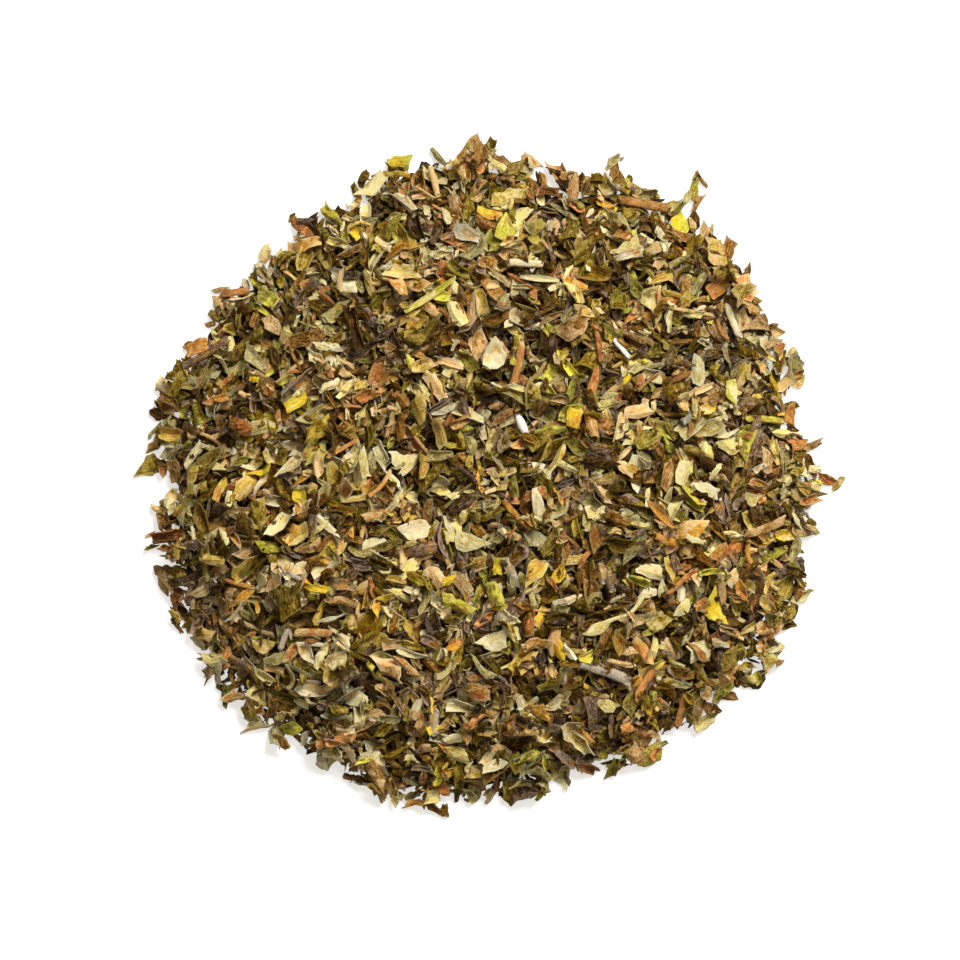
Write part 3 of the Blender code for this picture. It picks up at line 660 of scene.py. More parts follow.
LOOSE_NODES = [node for node in frame["nodes"] if node != "leaf_heap"]
surface = height_map("leaf_heap")
lids = lid_map(LOOSE_NODES)
print("heap:", round(surface.max(), 1), "mm high;", int((lids < HIGH).sum()), "cells under loose pieces")


# %% A smoothed level for the flakes
def smoothed(heights, reach):
    """A running mean over 2 * reach + 1 cells in both directions."""
    for axis in (0, 1):
        total = sum(np.roll(heights, shift, axis) for shift in range(-reach, reach + 1))
        heights = total / (2 * reach + 1)
    return heights


RIM_DEPTH = 1.4  # mm of height over which the rim thins out in patches
LEVEL_DROP = 0.35  # mm that the flakes' level lies below the model's surface
RIM_HOLLOWS = 1.3  # mm

level = smoothed(surface, 3)
near_rim = np.exp(-level / RIM_DEPTH)
slope_y, slope_x = np.gradient(smoothed(surface, 6), PITCH)
patchy = smoothed(np.random.default_rng(9).normal(0.0, 1.0, (CELLS, CELLS)), 5)
patchy = patchy / patchy.std()
level = level - LEVEL_DROP * (1.0 - near_rim) - RIM_HOLLOWS * near_rim * np.maximum(patchy, 0.0)
print("mean level inside the heap:", round(level[surface > 0.0].mean(), 2), "mm")

# %% [markdown]
# ## The dark core
# Nobody sees into the middle of a heap, so it needn't be filled with flakes. A closed, crumpled
# core stands for the leaf inside and carries the outer layers. It lies a few flakes deep, and its
# flat dark brown is painted shade: it shows only at the bottom of a gap, where shade falls.

# %% The core under the flakes
CORE_DEPTH = 2.7  # mm that the flakes lie over the core
CORE_EDGE = 0.6  # of that depth, the level at which the core ends
CORE_CRUMPLE = 0.3  # mm that its top strays up or down
CORE_LEAST = 0.12  # mm that its top stays over the table
CORE_RINGS = 40
CORE_SPOKES = 120
# The core's flat dark brown is painted shade for the bottom of the gaps, darker than most of the leaf.
CORE_PAINTED_SHADE = linear((70, 34, 5))


def core_mesh():
    """A closed mound below the level of the flakes, with a flat underside."""
    dice = np.random.default_rng(5)
    rows, columns = np.nonzero(level > CORE_DEPTH * CORE_EDGE)
    bearings = np.arctan2(place_of(rows), place_of(columns))
    radii = np.hypot(place_of(rows), place_of(columns))
    spoke = ((bearings / math.tau) % 1.0 * CORE_SPOKES).astype(int) % CORE_SPOKES
    rim = np.array([radii[spoke == index].max() for index in range(CORE_SPOKES)])
    points = [(0.0, 0.0, level[CELLS // 2, CELLS // 2] - CORE_DEPTH)]
    for ring in range(1, CORE_RINGS + 1):
        for index in range(CORE_SPOKES):
            radius = rim[index] * ring / CORE_RINGS
            bearing = math.tau * (index + 0.5) / CORE_SPOKES
            x, y = radius * math.cos(bearing), radius * math.sin(bearing)
            here = level[cell(np.array(y)), cell(np.array(x))] - CORE_DEPTH
            points.append((x, y, max(here + dice.uniform(-CORE_CRUMPLE, CORE_CRUMPLE), CORE_LEAST)))
    faces = [(0, 1 + index, 1 + (index + 1) % CORE_SPOKES) for index in range(CORE_SPOKES)]
    for ring in range(CORE_RINGS - 1):
        near, far = 1 + ring * CORE_SPOKES, 1 + (ring + 1) * CORE_SPOKES
        for index in range(CORE_SPOKES):
            after = (index + 1) % CORE_SPOKES
            faces.append((near + index, far + index, far + after, near + after))
    edge = 1 + (CORE_RINGS - 1) * CORE_SPOKES
    base = len(points)
    points += [(x, y, 0.0) for x, y, _ in points[edge:]]
    for index in range(CORE_SPOKES):
        after = (index + 1) % CORE_SPOKES
        faces.append((edge + index, base + index, base + after, edge + after))
    faces.append(tuple(base + index for index in reversed(range(CORE_SPOKES))))
    mesh = bpy.data.meshes.new("painted_shade_core")
    mesh.from_pydata(np.array(points) * MM, [], faces)
    tone_whole(mesh, CORE_PAINTED_SHADE, CORE_PAINTED_SHADE)
    return mesh


core = add_piece("painted_shade_core", core_mesh(), "mixed_leaf", "leaf_heap")
print("core:", len(core.data.polygons), "faces")

# %% [markdown]
# ## The mix
# The photograph shows flat chips, pointed slivers, tightly rolled leaf and bits of stem. Each kind
# has its own sizes and its own tones, and each tone has the partners that come through in patches.
# The shares are set against the photograph.

# %% Kinds of flake and their tones
Kind = namedtuple("Kind", "count length width curl fold bend twist taper ragged")
KINDS = {
    "under_flakes": Kind(1500, (1.8, 3.8), (0.5, 0.8), (0.2, 1.6), (0.0, 0.5), 0.8, 0.5, (0.0, 0.5), 0.2),
    "leaf_chips": Kind(3450, (1.4, 4.1), (0.48, 0.92), (0.1, 1.8), (0.0, 0.9), 0.9, 0.6, (0.0, 0.6), 0.31),
    "leaf_slivers": Kind(1500, (1.6, 4.6), (0.22, 0.45), (0.3, 2.6), (0.0, 0.8), 0.8, 0.8, (0.1, 0.95), 0.28),
    "rolled_leaf": Kind(750, (1.8, 4.8), (0.5, 0.9), (3.0, 6.4), (0.0, 0.2), 0.7, 0.5, (0.2, 0.7), 0.22),
    "leaf_crumbs": Kind(2100, (0.6, 1.7), (0.45, 0.95), (0.1, 1.6), (0.0, 0.8), 0.9, 0.6, (0.0, 0.7), 0.32),
    "rim_flakes": Kind(300, (1.7, 3.6), (0.5, 0.95), (0.1, 1.6), (0.0, 0.8), 0.8, 0.5, (0.0, 0.6), 0.3),
    "dressing": Kind(420, (0.8, 2.6), (0.3, 0.8), (0.1, 2.2), (0.0, 0.8), 0.9, 0.6, (0.0, 0.8), 0.32),
}
SIZE_SKEW = 1.35  # higher gives more small flakes and fewer large ones
STEM_COUNT = 380
MIX = {
    "charcoal": 16.0,
    "slate": 10.5,
    "umber": 9.0,
    "brown": 10.0,
    "tan": 8.0,
    "dark_olive": 12.0,
    "olive": 14.0,
    "moss": 4.5,
    "grey_green": 7.5,
    "sage": 12.0,
    "lime": 1.8,
    "pale_green": 7.5,
    "cream": 2.8,
    "straw": 5.5,
    "yellow": 0.8,
    "amber": 1.8,
    "orange": 2.2,
    "rust": 2.0,
}
# The rim flakes take a lighter mix than the rest, with less charcoal and no slate: painted light, for the rim
# of the heap, which is better lit and takes light back from the table.
RIM_MIX_PAINTED_LIGHT = {
    "charcoal": 6.0,
    "umber": 7.0,
    "brown": 12.0,
    "tan": 13.0,
    "dark_olive": 8.0,
    "olive": 14.0,
    "moss": 4.0,
    "sage": 13.0,
    "lime": 4.0,
    "pale_green": 8.0,
    "straw": 6.0,
    "orange": 4.0,
    "rust": 3.0,
}
PARTNERS = {
    "charcoal": ("umber", "slate", "dark_olive"),
    "slate": ("umber", "charcoal", "brown"),
    "umber": ("brown", "charcoal", "dark_olive"),
    "brown": ("umber", "tan", "rust"),
    "tan": ("brown", "straw"),
    "dark_olive": ("olive", "umber", "moss"),
    "olive": ("dark_olive", "straw", "brown"),
    "moss": ("olive", "lime", "dark_olive"),
    "grey_green": ("olive", "sage", "slate"),
    "sage": ("olive", "pale_green", "grey_green"),
    "lime": ("olive", "yellow", "moss"),
    "pale_green": ("sage", "straw", "cream"),
    "cream": ("straw", "pale_green"),
    "straw": ("tan", "olive", "cream"),
    "yellow": ("amber", "lime"),
    "amber": ("orange", "brown", "yellow"),
    "orange": ("rust", "amber", "tan"),
    "rust": ("umber", "orange", "brown"),
    "ash": ("tan", "slate"),
    "white": ("ash", "cream"),
}
BRIGHTNESS_SPREAD = 0.42  # as a power of e, like the range
BRIGHTNESS_RANGE = (-0.8, 0.42)
BRIGHTEST = 0.88  # of the strongest channel of a tone


def within_white(tones):
    """Scales tones that are too bright down as a whole, because cutting one channel shifts the hue."""
    return tones * np.minimum(1.0, BRIGHTEST / tones.max(axis=1, keepdims=True))


def pick_tones(dice, count, shares):
    """A tone and a partner for each flake, with a small spread in brightness."""
    names = list(shares)
    weights = np.array([shares[name] for name in names])
    chosen = [names[index] for index in dice.choice(len(names), count, p=weights / weights.sum())]
    partners = [PARTNERS[name][dice.integers(len(PARTNERS[name]))] for name in chosen]
    powers = dice.normal(0.0, BRIGHTNESS_SPREAD, (count, 1))
    spread = np.exp(np.clip(powers, *BRIGHTNESS_RANGE))
    tones = np.array([TONES[name] for name in chosen]) * spread
    seconds = np.array([TONES[name] for name in partners]) * spread
    return within_white(tones), within_white(seconds)


print("kinds:", {name: kind.count for name, kind in KINDS.items()}, "stems:", STEM_COUNT)

# %% Shaping each kind
Batch = namedtuple("Batch", "form mids points places tones seconds half roll")
GRIDS = {
    "under_flakes": (4, 3),
    "leaf_chips": (5, 4),
    "leaf_slivers": (6, 3),
    "rolled_leaf": (6, 6),
    "leaf_crumbs": (4, 3),
    "rim_flakes": (6, 5),
    "dressing": (5, 4),
}
THICKNESS = (0.08, 0.17)  # mm
LEAF_ROLL = 0.3  # radians that a flake is rolled to either side before it is laid
STEM_LENGTHS = (1.8, 4.8)  # mm
STEM_WIDTHS = (0.35, 0.85)  # mm
STEM_TONES = {
    "orange": 5,
    "tan": 5,
    "brown": 5,
    "straw": 4,
    "rust": 3,
    "olive": 3,
    "cream": 1,
    "umber": 4,
    "slate": 3,
}


def leaf_batch(dice, name):
    """All the flakes of one kind, round their own middles."""
    kind, (along, across) = KINDS[name], GRIDS[name]
    shortest, longest = kind.length
    length = shortest + (longest - shortest) * dice.random(kind.count) ** SIZE_SKEW
    width = length * dice.uniform(*kind.width, kind.count)
    thickness = dice.uniform(*THICKNESS, kind.count)
    sheets = bent_sheets(dice, length, width, along, across, *kind[3:])
    points, places = thickened(sheets, thickness)
    tones, seconds = pick_tones(dice, kind.count, RIM_MIX_PAINTED_LIGHT if name == "rim_flakes" else MIX)
    mids, form = sheets.points.reshape(kind.count, -1, 3), sheet_form(along, across)
    return Batch(form, mids, points, places, tones, seconds, thickness / 2.0, LEAF_ROLL)


def stem_batch(dice, count, stations=6, sides=8):
    """All the loose bits of stem, round their own middles."""
    length = dice.uniform(*STEM_LENGTHS, count)
    width = dice.uniform(*STEM_WIDTHS, count)
    rods = bent_rods(dice, length, width, stations, sides)
    tones, seconds = pick_tones(dice, count, STEM_TONES)
    points = rods.points.reshape(count, -1, 3)
    places = rods.place.reshape(count, -1, 3)
    form = rod_form(stations, sides)
    return Batch(form, points, points, places, tones, seconds, np.zeros(count), math.pi)


shape_dice = np.random.default_rng(20)
batches = {name: leaf_batch(shape_dice, name) for name in KINDS}
batches["rolled_leaf"] = batches["rolled_leaf"]._replace(roll=math.pi)
batches["stem_bits"] = stem_batch(shape_dice, STEM_COUNT)
print("triangles:", sum(2 * len(b.form.faces) * len(b.mids) for b in batches.values()))

# %% [markdown]
# ## Laying the flakes one by one
# A physics simulation of ten thousand thin flakes would take hours. Laying them by a simple rule
# looks the same: take the spot where the heap is still lowest, turn the flake to the slope there,
# lower it until it meets what lies below, and keep the best of a few tries. The map of heights is
# raised under each flake that has been laid, so the next one comes to lie on it.

# %% Turning and lowering one flake
SPOTS = 10  # places looked at for each flake
TRIES = 4  # ways round tried at the best of them
SINK = 0.86  # share of a flake's points that must be clear of the heap
OVERLAP = 0.12  # share of a flake that may cover a piece that is to stay in sight
LID_GAP = 0.05  # mm between a flake and a loose piece over it

ground = np.maximum(level - CORE_DEPTH, 0.0)
in_sight = np.zeros((CELLS, CELLS), dtype=bool)


def turn_matrix(normal_x, normal_y, heading, tilt, tilt_bearing, roll):
    """Rolls a flake about its length, points it, tips it and lays it on the slope."""
    cos, sin = math.cos(roll), math.sin(roll)
    rolled = np.array([(1.0, 0.0, 0.0), (0.0, cos, -sin), (0.0, sin, cos)])
    cos, sin = math.cos(heading), math.sin(heading)
    pointed = np.array([(cos, -sin, 0.0), (sin, cos, 0.0), (0.0, 0.0, 1.0)]) @ rolled
    axis_x, axis_y = math.cos(tilt_bearing) * tilt - normal_y, math.sin(tilt_bearing) * tilt + normal_x
    angle = math.hypot(axis_x, axis_y)
    if angle < 1e-6:
        return pointed
    axis_x, axis_y = axis_x / angle, axis_y / angle
    cos, sin = math.cos(angle), math.sin(angle)
    tipped = np.array(
        [
            (cos + axis_x * axis_x * (1 - cos), axis_x * axis_y * (1 - cos), axis_y * sin),
            (axis_x * axis_y * (1 - cos), cos + axis_y * axis_y * (1 - cos), -axis_x * sin),
            (-axis_y * sin, axis_x * sin, cos),
        ]
    )
    return tipped @ pointed


def lower(turned, x, y, half):
    """The height at which a turned flake comes to lie, and the cells that it lies over."""
    rows, columns = cell(turned[:, 1] + y), cell(turned[:, 0] + x)
    gaps = ground[rows, columns] - turned[:, 2]
    index = min(int(SINK * len(gaps)), len(gaps) - 1)
    height = np.partition(gaps, index)[index] + half
    return max(height, half - turned[:, 2].min()), rows, columns


def is_allowed(turned, height, rows, columns, overlap):
    """Whether a flake stays under the loose pieces and off what must stay in sight."""
    if (turned[:, 2] + height > lids[rows, columns] - LID_GAP).any():
        return False
    return in_sight[rows, columns].mean() < overlap


def raise_ground(turned, x, y, height, half, grid):
    """Marks a flake in the height map, at points between its own so that it has no gaps."""
    if grid is not None:
        turned = finer_points(turned, grid)
    rows, columns = cell(turned[:, 1] + y), cell(turned[:, 0] + x)
    np.maximum.at(ground, (rows, columns), turned[:, 2] + height + half)
    return rows, columns


def finer_points(turned, grid):
    """Three times as many points each way, between a flake's own."""
    points = turned.reshape(*grid, 3)
    for axis in (0, 1):
        count = points.shape[axis]
        places = np.linspace(0.0, count - 1.0, 3 * count - 2)
        first = np.minimum(places.astype(int), count - 2)
        share = (places - first).reshape([-1 if index == axis else 1 for index in range(3)])
        near, far = np.take(points, first, axis), np.take(points, first + 1, axis)
        points = near + (far - near) * share
    return points.reshape(-1, 3)


print("maps:", ground.shape, "cells of", PITCH, "mm")

# %% Choosing a spot and a tilt
AROUND = 4  # cells from a spot to where its surroundings are measured
CROSS = AROUND * np.array([(0, 0), (1, 0), (-1, 0), (0, 1), (0, -1)])
RIM_SPOKES = 120
RIM_OFFSET = (-0.9, 0.9)  # mm, mean and spread of the rim flakes' distance beyond the model's rim
RIM_REACH = 0.6  # mm, the most of it
CLUMPS = 26
CLUMP_SHARE = 0.5  # of the rim flakes
CLUMP_SPREAD = 0.05  # radians round the heap
OWN_SHARE = 0.4  # of a flake's slope that comes from what lies there
STEEPEST = 0.6  # rise over run that is taken from what lies there
STANDING_SHARE = 0.28  # of the flakes
STANDING_TILTS = (0.6, 1.3)  # radians
LYING_SPREAD = 0.24  # radians

heap_rows, heap_columns = np.nonzero(surface > 0.0)
heap_bearings = np.arctan2(place_of(heap_rows), place_of(heap_columns)) % math.tau
heap_spokes = (heap_bearings / math.tau * RIM_SPOKES).astype(int) % RIM_SPOKES
heap_radii = np.hypot(place_of(heap_rows), place_of(heap_columns))
rim_radii = np.array([heap_radii[heap_spokes == spoke].max() for spoke in range(RIM_SPOKES)])
clump_bearings = np.random.default_rng(12).uniform(0.0, math.tau, CLUMPS)


def lowest_spot(dice):
    """Of a few random places on the heap, the one where it is furthest below its level."""
    picks = dice.integers(len(heap_rows), size=SPOTS)
    rows, columns = heap_rows[picks], heap_columns[picks]
    around = ground[rows[:, None] + CROSS[:, 0], columns[:, None] + CROSS[:, 1]].mean(axis=1)
    best = int(np.argmax(level[rows, columns] - around))
    jitter = dice.uniform(-PITCH / 2.0, PITCH / 2.0, 2)
    return place_of(columns[best]) + jitter[0], place_of(rows[best]) + jitter[1]


def rim_spot(dice):
    """A place near the rim; half of them gather in clumps."""
    bearing = dice.uniform(0.0, math.tau)
    if dice.random() < CLUMP_SHARE:
        bearing = dice.choice(clump_bearings) + dice.normal(0.0, CLUMP_SPREAD)
    beyond = min(dice.normal(*RIM_OFFSET), RIM_REACH)
    radius = rim_radii[int(bearing / math.tau * RIM_SPOKES) % RIM_SPOKES] + beyond
    return radius * math.cos(bearing), radius * math.sin(bearing)


def border_spot(dice):
    """A place beside a piece that is to stay in sight."""
    pick = dice.integers(len(border_rows))
    return place_of(border_columns[pick]), place_of(border_rows[pick])


def slope_at(x, y):
    """The slope that a flake is laid to: mostly the heap's, with some of what lies there."""
    row, column = int(cell(np.array(y))), int(cell(np.array(x)))
    mixed = []
    for slopes, up, right in ((slope_x, 0, AROUND), (slope_y, AROUND, 0)):
        rise = ground[row + up, column + right] - ground[row - up, column - right]
        own = max(-STEEPEST, min(STEEPEST, rise / (2 * AROUND * PITCH)))
        mixed.append((1.0 - OWN_SHARE) * slopes[row, column] + OWN_SHARE * own)
    return mixed


def draw_tilt(dice):
    """Most flakes lie nearly flat, and some stand on edge."""
    if dice.random() < STANDING_SHARE:
        return dice.uniform(*STANDING_TILTS)
    return abs(dice.normal(0.0, LYING_SPREAD))


def lay_flake(dice, batch, index, find_spot, overlap):
    """Finds the best of a few ways to lay one flake; returns its turn and place, or None."""
    x, y = find_spot(dice)
    slope = slope_at(x, y)
    best = None
    for _ in range(TRIES):
        heading, bearing = dice.uniform(0.0, math.tau, 2)
        tilt, roll = draw_tilt(dice), dice.uniform(-batch.roll, batch.roll)
        turn = turn_matrix(-slope[0], -slope[1], heading, tilt, bearing, roll)
        turned = batch.mids[index] @ turn.T
        height, rows, columns = lower(turned, x, y, batch.half[index])
        if is_allowed(turned, height, rows, columns, overlap) and (best is None or height < best[0]):
            best = (height, turn, turned)
    if best is None:
        return None
    height, turn, turned = best
    return turn, (x, y, height), turned


print("standing flakes:", STANDING_SHARE)

# %% Laying a whole list of flakes
Laid = namedtuple("Laid", "index turn place")
SPOT_TRIES = 3  # spots tried for a flake before it is left out
MAIN_KINDS = ["leaf_chips", "leaf_slivers", "rolled_leaf", "leaf_crumbs", "stem_bits"]


def lay_batches(dice, names, find_spot=lowest_spot, overlap=OVERLAP):
    """Lays the flakes of these batches in a shuffled order."""
    order = [(name, index) for name in names for index in range(len(batches[name].mids))]
    dice.shuffle(order)
    laid = {name: [] for name in names}
    skipped = 0
    for name, index in order:
        batch, found = batches[name], None
        for _ in range(SPOT_TRIES):
            found = lay_flake(dice, batch, index, find_spot, overlap)
            if found is not None:
                break
        if found is None:
            skipped += 1
            continue
        turn, (x, y, height), turned = found
        raise_ground(turned, x, y, height, batch.half[index], GRIDS.get(name))
        laid[name].append(Laid(index, turn, (x, y, height)))
    print("laid", {name: len(flakes) for name, flakes in laid.items()}, "left out", skipped)
    return laid


lay_dice = np.random.default_rng(31)
laid = lay_batches(lay_dice, ["under_flakes"])
laid.update(lay_batches(lay_dice, MAIN_KINDS))
laid.update(lay_batches(lay_dice, ["rim_flakes"], rim_spot))
over_level = (ground - level)[level > 1.0].mean()
print("mean height over the level:", round(over_level, 2), "mm")

# %% [markdown]
# ## Known flakes in their places
# Some flakes of the top layer are told apart in the photograph by their colour. They are laid where
# the photograph has them, by the same rule, on top of the random ones. Their places are read in the
# photograph's pixels and turned into millimetres.

# %% Flakes read from the photograph
Extra = namedtuple("Extra", "form column row length width heading tone second")
EXTRAS = [
    Extra("leaf", 384, 246, 2.6, 1.2, -35, "cream", "straw"),
    Extra("rod", 246, 344, 5.4, 0.9, 27, "olive", "dark_olive"),
    Extra("leaf", 257, 380, 1.5, 1.0, 0, "yellow", "lime"),
    Extra("leaf", 222, 399, 2.1, 1.4, 10, "orange", "amber"),
    Extra("rod", 329, 370, 2.4, 1.0, -60, "orange", "tan"),
    Extra("leaf", 329, 348, 3.4, 1.2, -5, "cream", "pale_green"),
    Extra("leaf", 331, 387, 2.8, 1.4, 15, "pale_green", "cream"),
    Extra("leaf", 367, 396, 3.0, 2.1, 30, "brown", "rust"),
    Extra("leaf", 346, 170, 2.4, 0.9, 20, "cream", "straw"),
    Extra("leaf", 350, 161, 3.0, 1.0, 5, "straw", "amber"),
    Extra("rod", 690, 313, 6.5, 0.5, 2, "straw", "olive"),
    Extra("rod", 696, 343, 3.2, 0.7, -72, "orange", "rust"),
    Extra("rod", 687, 417, 2.2, 1.0, 50, "ash", "slate"),
    Extra("leaf", 680, 402, 2.4, 2.1, 90, "pale_green", "straw"),
    Extra("leaf", 684, 295, 4.0, 1.6, 88, "brown", "olive"),
    Extra("rod", 658, 229, 3.7, 1.4, -65, "dark_olive", "umber"),
    Extra("leaf", 628, 257, 3.8, 1.4, 15, "cream", "tan"),
    Extra("leaf", 622, 237, 2.4, 1.8, 0, "orange", "brown"),
    Extra("leaf", 571, 331, 4.4, 3.3, 20, "tan", "brown"),
    Extra("rod", 573, 193, 3.9, 1.4, 85, "orange", "tan"),
    Extra("leaf", 618, 177, 3.3, 2.1, -65, "umber", "brown"),
    Extra("leaf", 694, 192, 2.8, 1.4, 90, "lime", "olive"),
    Extra("leaf", 664, 475, 3.6, 2.0, 80, "tan", "brown"),
    Extra("leaf", 827, 480, 2.4, 1.5, -20, "rust", "brown"),
    Extra("leaf", 814, 469, 1.8, 1.2, 0, "cream", "straw"),
    Extra("leaf", 789, 414, 2.7, 2.1, 90, "orange", "amber"),
    Extra("leaf", 334, 545, 1.3, 0.9, 0, "yellow", "amber"),
    Extra("leaf", 271, 546, 2.8, 1.9, 0, "lime", "moss"),
    Extra("leaf", 307, 651, 2.7, 2.1, -70, "cream", "straw"),
    Extra("rod", 295, 575, 2.5, 0.7, -25, "ash", "slate"),
    Extra("leaf", 339, 659, 2.8, 2.4, 30, "pale_green", "straw"),
    Extra("rod", 242, 663, 3.4, 1.1, -25, "slate", "brown"),
    Extra("leaf", 449, 579, 1.8, 1.2, 20, "amber", "yellow"),
    Extra("leaf", 456, 603, 4.0, 2.2, -30, "lime", "olive"),
    Extra("leaf", 394, 627, 2.0, 1.4, 40, "amber", "brown"),
    Extra("leaf", 455, 643, 2.1, 2.0, 0, "orange", "amber"),
    Extra("rod", 434, 718, 3.3, 1.3, 85, "ash", "tan"),
    Extra("rod", 416, 708, 2.9, 1.1, 65, "cream", "tan"),
    Extra("leaf", 454, 737, 2.4, 1.6, 10, "pale_green", "cream"),
    Extra("leaf", 457, 753, 3.2, 2.3, -15, "olive", "sage"),
    Extra("leaf", 474, 719, 3.2, 1.6, 30, "orange", "rust"),
    Extra("leaf", 415, 803, 2.7, 1.2, 10, "orange", "amber"),
    Extra("leaf", 344, 729, 3.9, 1.3, 15, "cream", "straw"),
    Extra("rod", 338, 739, 4.5, 1.2, 12, "orange", "brown"),
    Extra("leaf", 423, 776, 2.1, 1.2, 90, "orange", "brown"),
    Extra("leaf", 664, 539, 3.0, 1.2, -20, "orange", "amber"),
    Extra("leaf", 558, 574, 2.2, 1.8, 45, "yellow", "amber"),
    Extra("leaf", 497, 565, 2.2, 1.6, 90, "lime", "yellow"),
    Extra("leaf", 707, 571, 3.9, 1.2, -2, "lime", "yellow"),
    Extra("leaf", 782, 535, 2.5, 1.9, 0, "straw", "yellow"),
    Extra("leaf", 656, 620, 3.1, 2.8, 30, "olive", "sage"),
    Extra("leaf", 559, 649, 2.4, 1.8, -60, "amber", "yellow"),
    Extra("leaf", 624, 648, 2.5, 1.4, -5, "cream", "straw"),
    Extra("leaf", 494, 640, 3.4, 2.7, 20, "pale_green", "cream"),
    Extra("leaf", 528, 619, 4.5, 2.0, 85, "rust", "umber"),
    Extra("leaf", 534, 644, 3.5, 2.1, 0, "tan", "brown"),
    Extra("rod", 644, 680, 4.8, 1.0, 55, "orange", "rust"),
    Extra("leaf", 652, 697, 2.7, 1.5, 90, "lime", "moss"),
    Extra("leaf", 626, 727, 2.1, 1.8, 0, "orange", "brown"),
    Extra("leaf", 529, 755, 3.2, 1.6, 15, "lime", "moss"),
    Extra("rod", 528, 730, 3.6, 0.9, 0, "tan", "brown"),
    Extra("leaf", 509, 616, 2.4, 1.5, -40, "pale_green", "cream"),
    Extra("leaf", 524, 791, 3.3, 2.2, 20, "charcoal", "slate"),
    Extra("rod", 679, 581, 5.0, 0.7, 40, "orange", "rust"),
    Extra("rod", 762, 528, 5.3, 1.2, 20, "tan", "brown"),
    Extra("leaf", 739, 588, 2.4, 1.8, 90, "orange", "amber"),
    Extra("leaf", 729, 657, 3.3, 2.7, 90, "moss", "olive"),
    Extra("leaf", 770, 656, 2.7, 2.4, 90, "sage", "olive"),
]
PHOTO_MIDDLE = (485, 483)  # pixel column and row of the model's origin
MM_PER_PIXEL = 0.13
EXTRA_GRIDS = {"leaf": (8, 7), "rod": (9, 8)}
GRIDS["known_leaf"] = EXTRA_GRIDS["leaf"]
EXTRA_TILT = 0.12  # radians


def extra_batch(dice, form):
    """The closed shapes of all the known flakes of one form."""
    some = [extra for extra in EXTRAS if extra.form == form]
    length = np.array([extra.length for extra in some])
    width = np.array([extra.width for extra in some])
    tones = np.array([TONES[extra.tone] for extra in some])
    seconds = np.array([TONES[extra.second] for extra in some])
    grid, count = EXTRA_GRIDS[form], len(some)
    if form == "rod":
        rods = bent_rods(dice, length, width, *grid, bend=0.12)
        mids, places = rods.points.reshape(count, -1, 3), rods.place.reshape(count, -1, 3)
        return Batch(rod_form(*grid), mids, mids, places, tones, seconds, np.zeros(count), 0.0)
    sheets = bent_sheets(dice, length, width, *grid, (0.3, 1.2), (0.1, 0.6), 0.5, 0.3, (0.0, 0.4), 0.2)
    thickness = np.full(count, THICKNESS[1])
    points, places = thickened(sheets, thickness)
    mids = sheets.points.reshape(count, -1, 3)
    return Batch(sheet_form(*grid), mids, points, places, tones, seconds, thickness / 2.0, 0.0)


def lay_extras(dice, form):
    """Lays the known flakes of one form at their places and keeps them in sight."""
    name = f"known_{form}"
    batch, laid_here = batches[name], []
    for index, extra in enumerate([extra for extra in EXTRAS if extra.form == form]):
        x = (extra.column - PHOTO_MIDDLE[0]) * MM_PER_PIXEL
        y = (PHOTO_MIDDLE[1] - extra.row) * MM_PER_PIXEL
        slope, heading = slope_at(x, y), math.radians(extra.heading)
        tilt, bearing = dice.normal(0.0, EXTRA_TILT), dice.uniform(0.0, math.tau)
        turn = turn_matrix(-slope[0], -slope[1], heading, tilt, bearing, 0.0)
        turned = batch.mids[index] @ turn.T
        height = lower(turned, x, y, batch.half[index])[0]
        rows, columns = raise_ground(turned, x, y, height, batch.half[index], GRIDS.get(name))
        in_sight[rows, columns] = True
        laid_here.append(Laid(index, turn, (x, y, height)))
    return laid_here


extra_dice = np.random.default_rng(44)
for form in EXTRA_GRIDS:
    batches[f"known_{form}"] = extra_batch(extra_dice, form)
    laid[f"known_{form}"] = lay_extras(extra_dice, form)
print("known flakes:", len(EXTRAS))

# %% Small flakes over the edges of the ones in sight
BORDER = 2  # cells
BORDER_SHARE = 0.05  # of the cells around one that must be in sight for it to lie at a border
DRESSING_OVERLAP = 0.3

in_sight |= lids < HIGH
for node in LOOSE_NODES:
    ground = np.maximum(ground, height_map(node))
lids[:] = HIGH
at_border = (smoothed(in_sight.astype(float), BORDER) > BORDER_SHARE) & ~in_sight
border_rows, border_columns = np.nonzero(at_border)
laid.update(lay_batches(lay_dice, ["dressing"], border_spot, DRESSING_OVERLAP))

# %% [markdown]
# ## One heap
# Near the rim a flake can come to lie by itself. The heap is therefore followed outwards from its
# middle, from each covered cell to the covered cells beside it, and the flakes that it reaches stay.

# %% Keeping the flakes that touch the heap
GROWTH_STEPS = 8  # cells between two looks at whether it still grows


def grown(mask):
    """A mask grown by one cell to all sides."""
    for axis in (0, 1):
        mask = mask | np.roll(mask, 1, axis) | np.roll(mask, -1, axis)
    return mask


def cells_of(name, flake):
    """The cells of the map that a laid flake covers."""
    turned = batches[name].mids[flake.index] @ flake.turn.T
    if name in GRIDS:
        turned = finer_points(turned, GRIDS[name])
    return cell(turned[:, 1] + flake.place[1]), cell(turned[:, 0] + flake.place[0])


footprints = {name: [cells_of(name, flake) for flake in flakes] for name, flakes in laid.items()}
covered = lids < HIGH
for node in LOOSE_NODES:
    covered |= height_map(node) > 0.0
for cells in footprints.values():
    for rows, columns in cells:
        covered[rows, columns] = True
joined = np.zeros((CELLS, CELLS), dtype=bool)
joined[CELLS // 2, CELLS // 2] = True
size = 0
while joined.sum() > size:
    size = joined.sum()
    for _ in range(GROWTH_STEPS):
        joined = grown(joined) & covered
for name, cells in footprints.items():
    kept = [flake for flake, place in zip(laid[name], cells) if joined[place].any()]
    if len(kept) < len(laid[name]):
        print(name, "left out:", len(laid[name]) - len(kept))
    laid[name] = kept
print("flakes in all:", sum(len(flakes) for flakes in laid.values()))


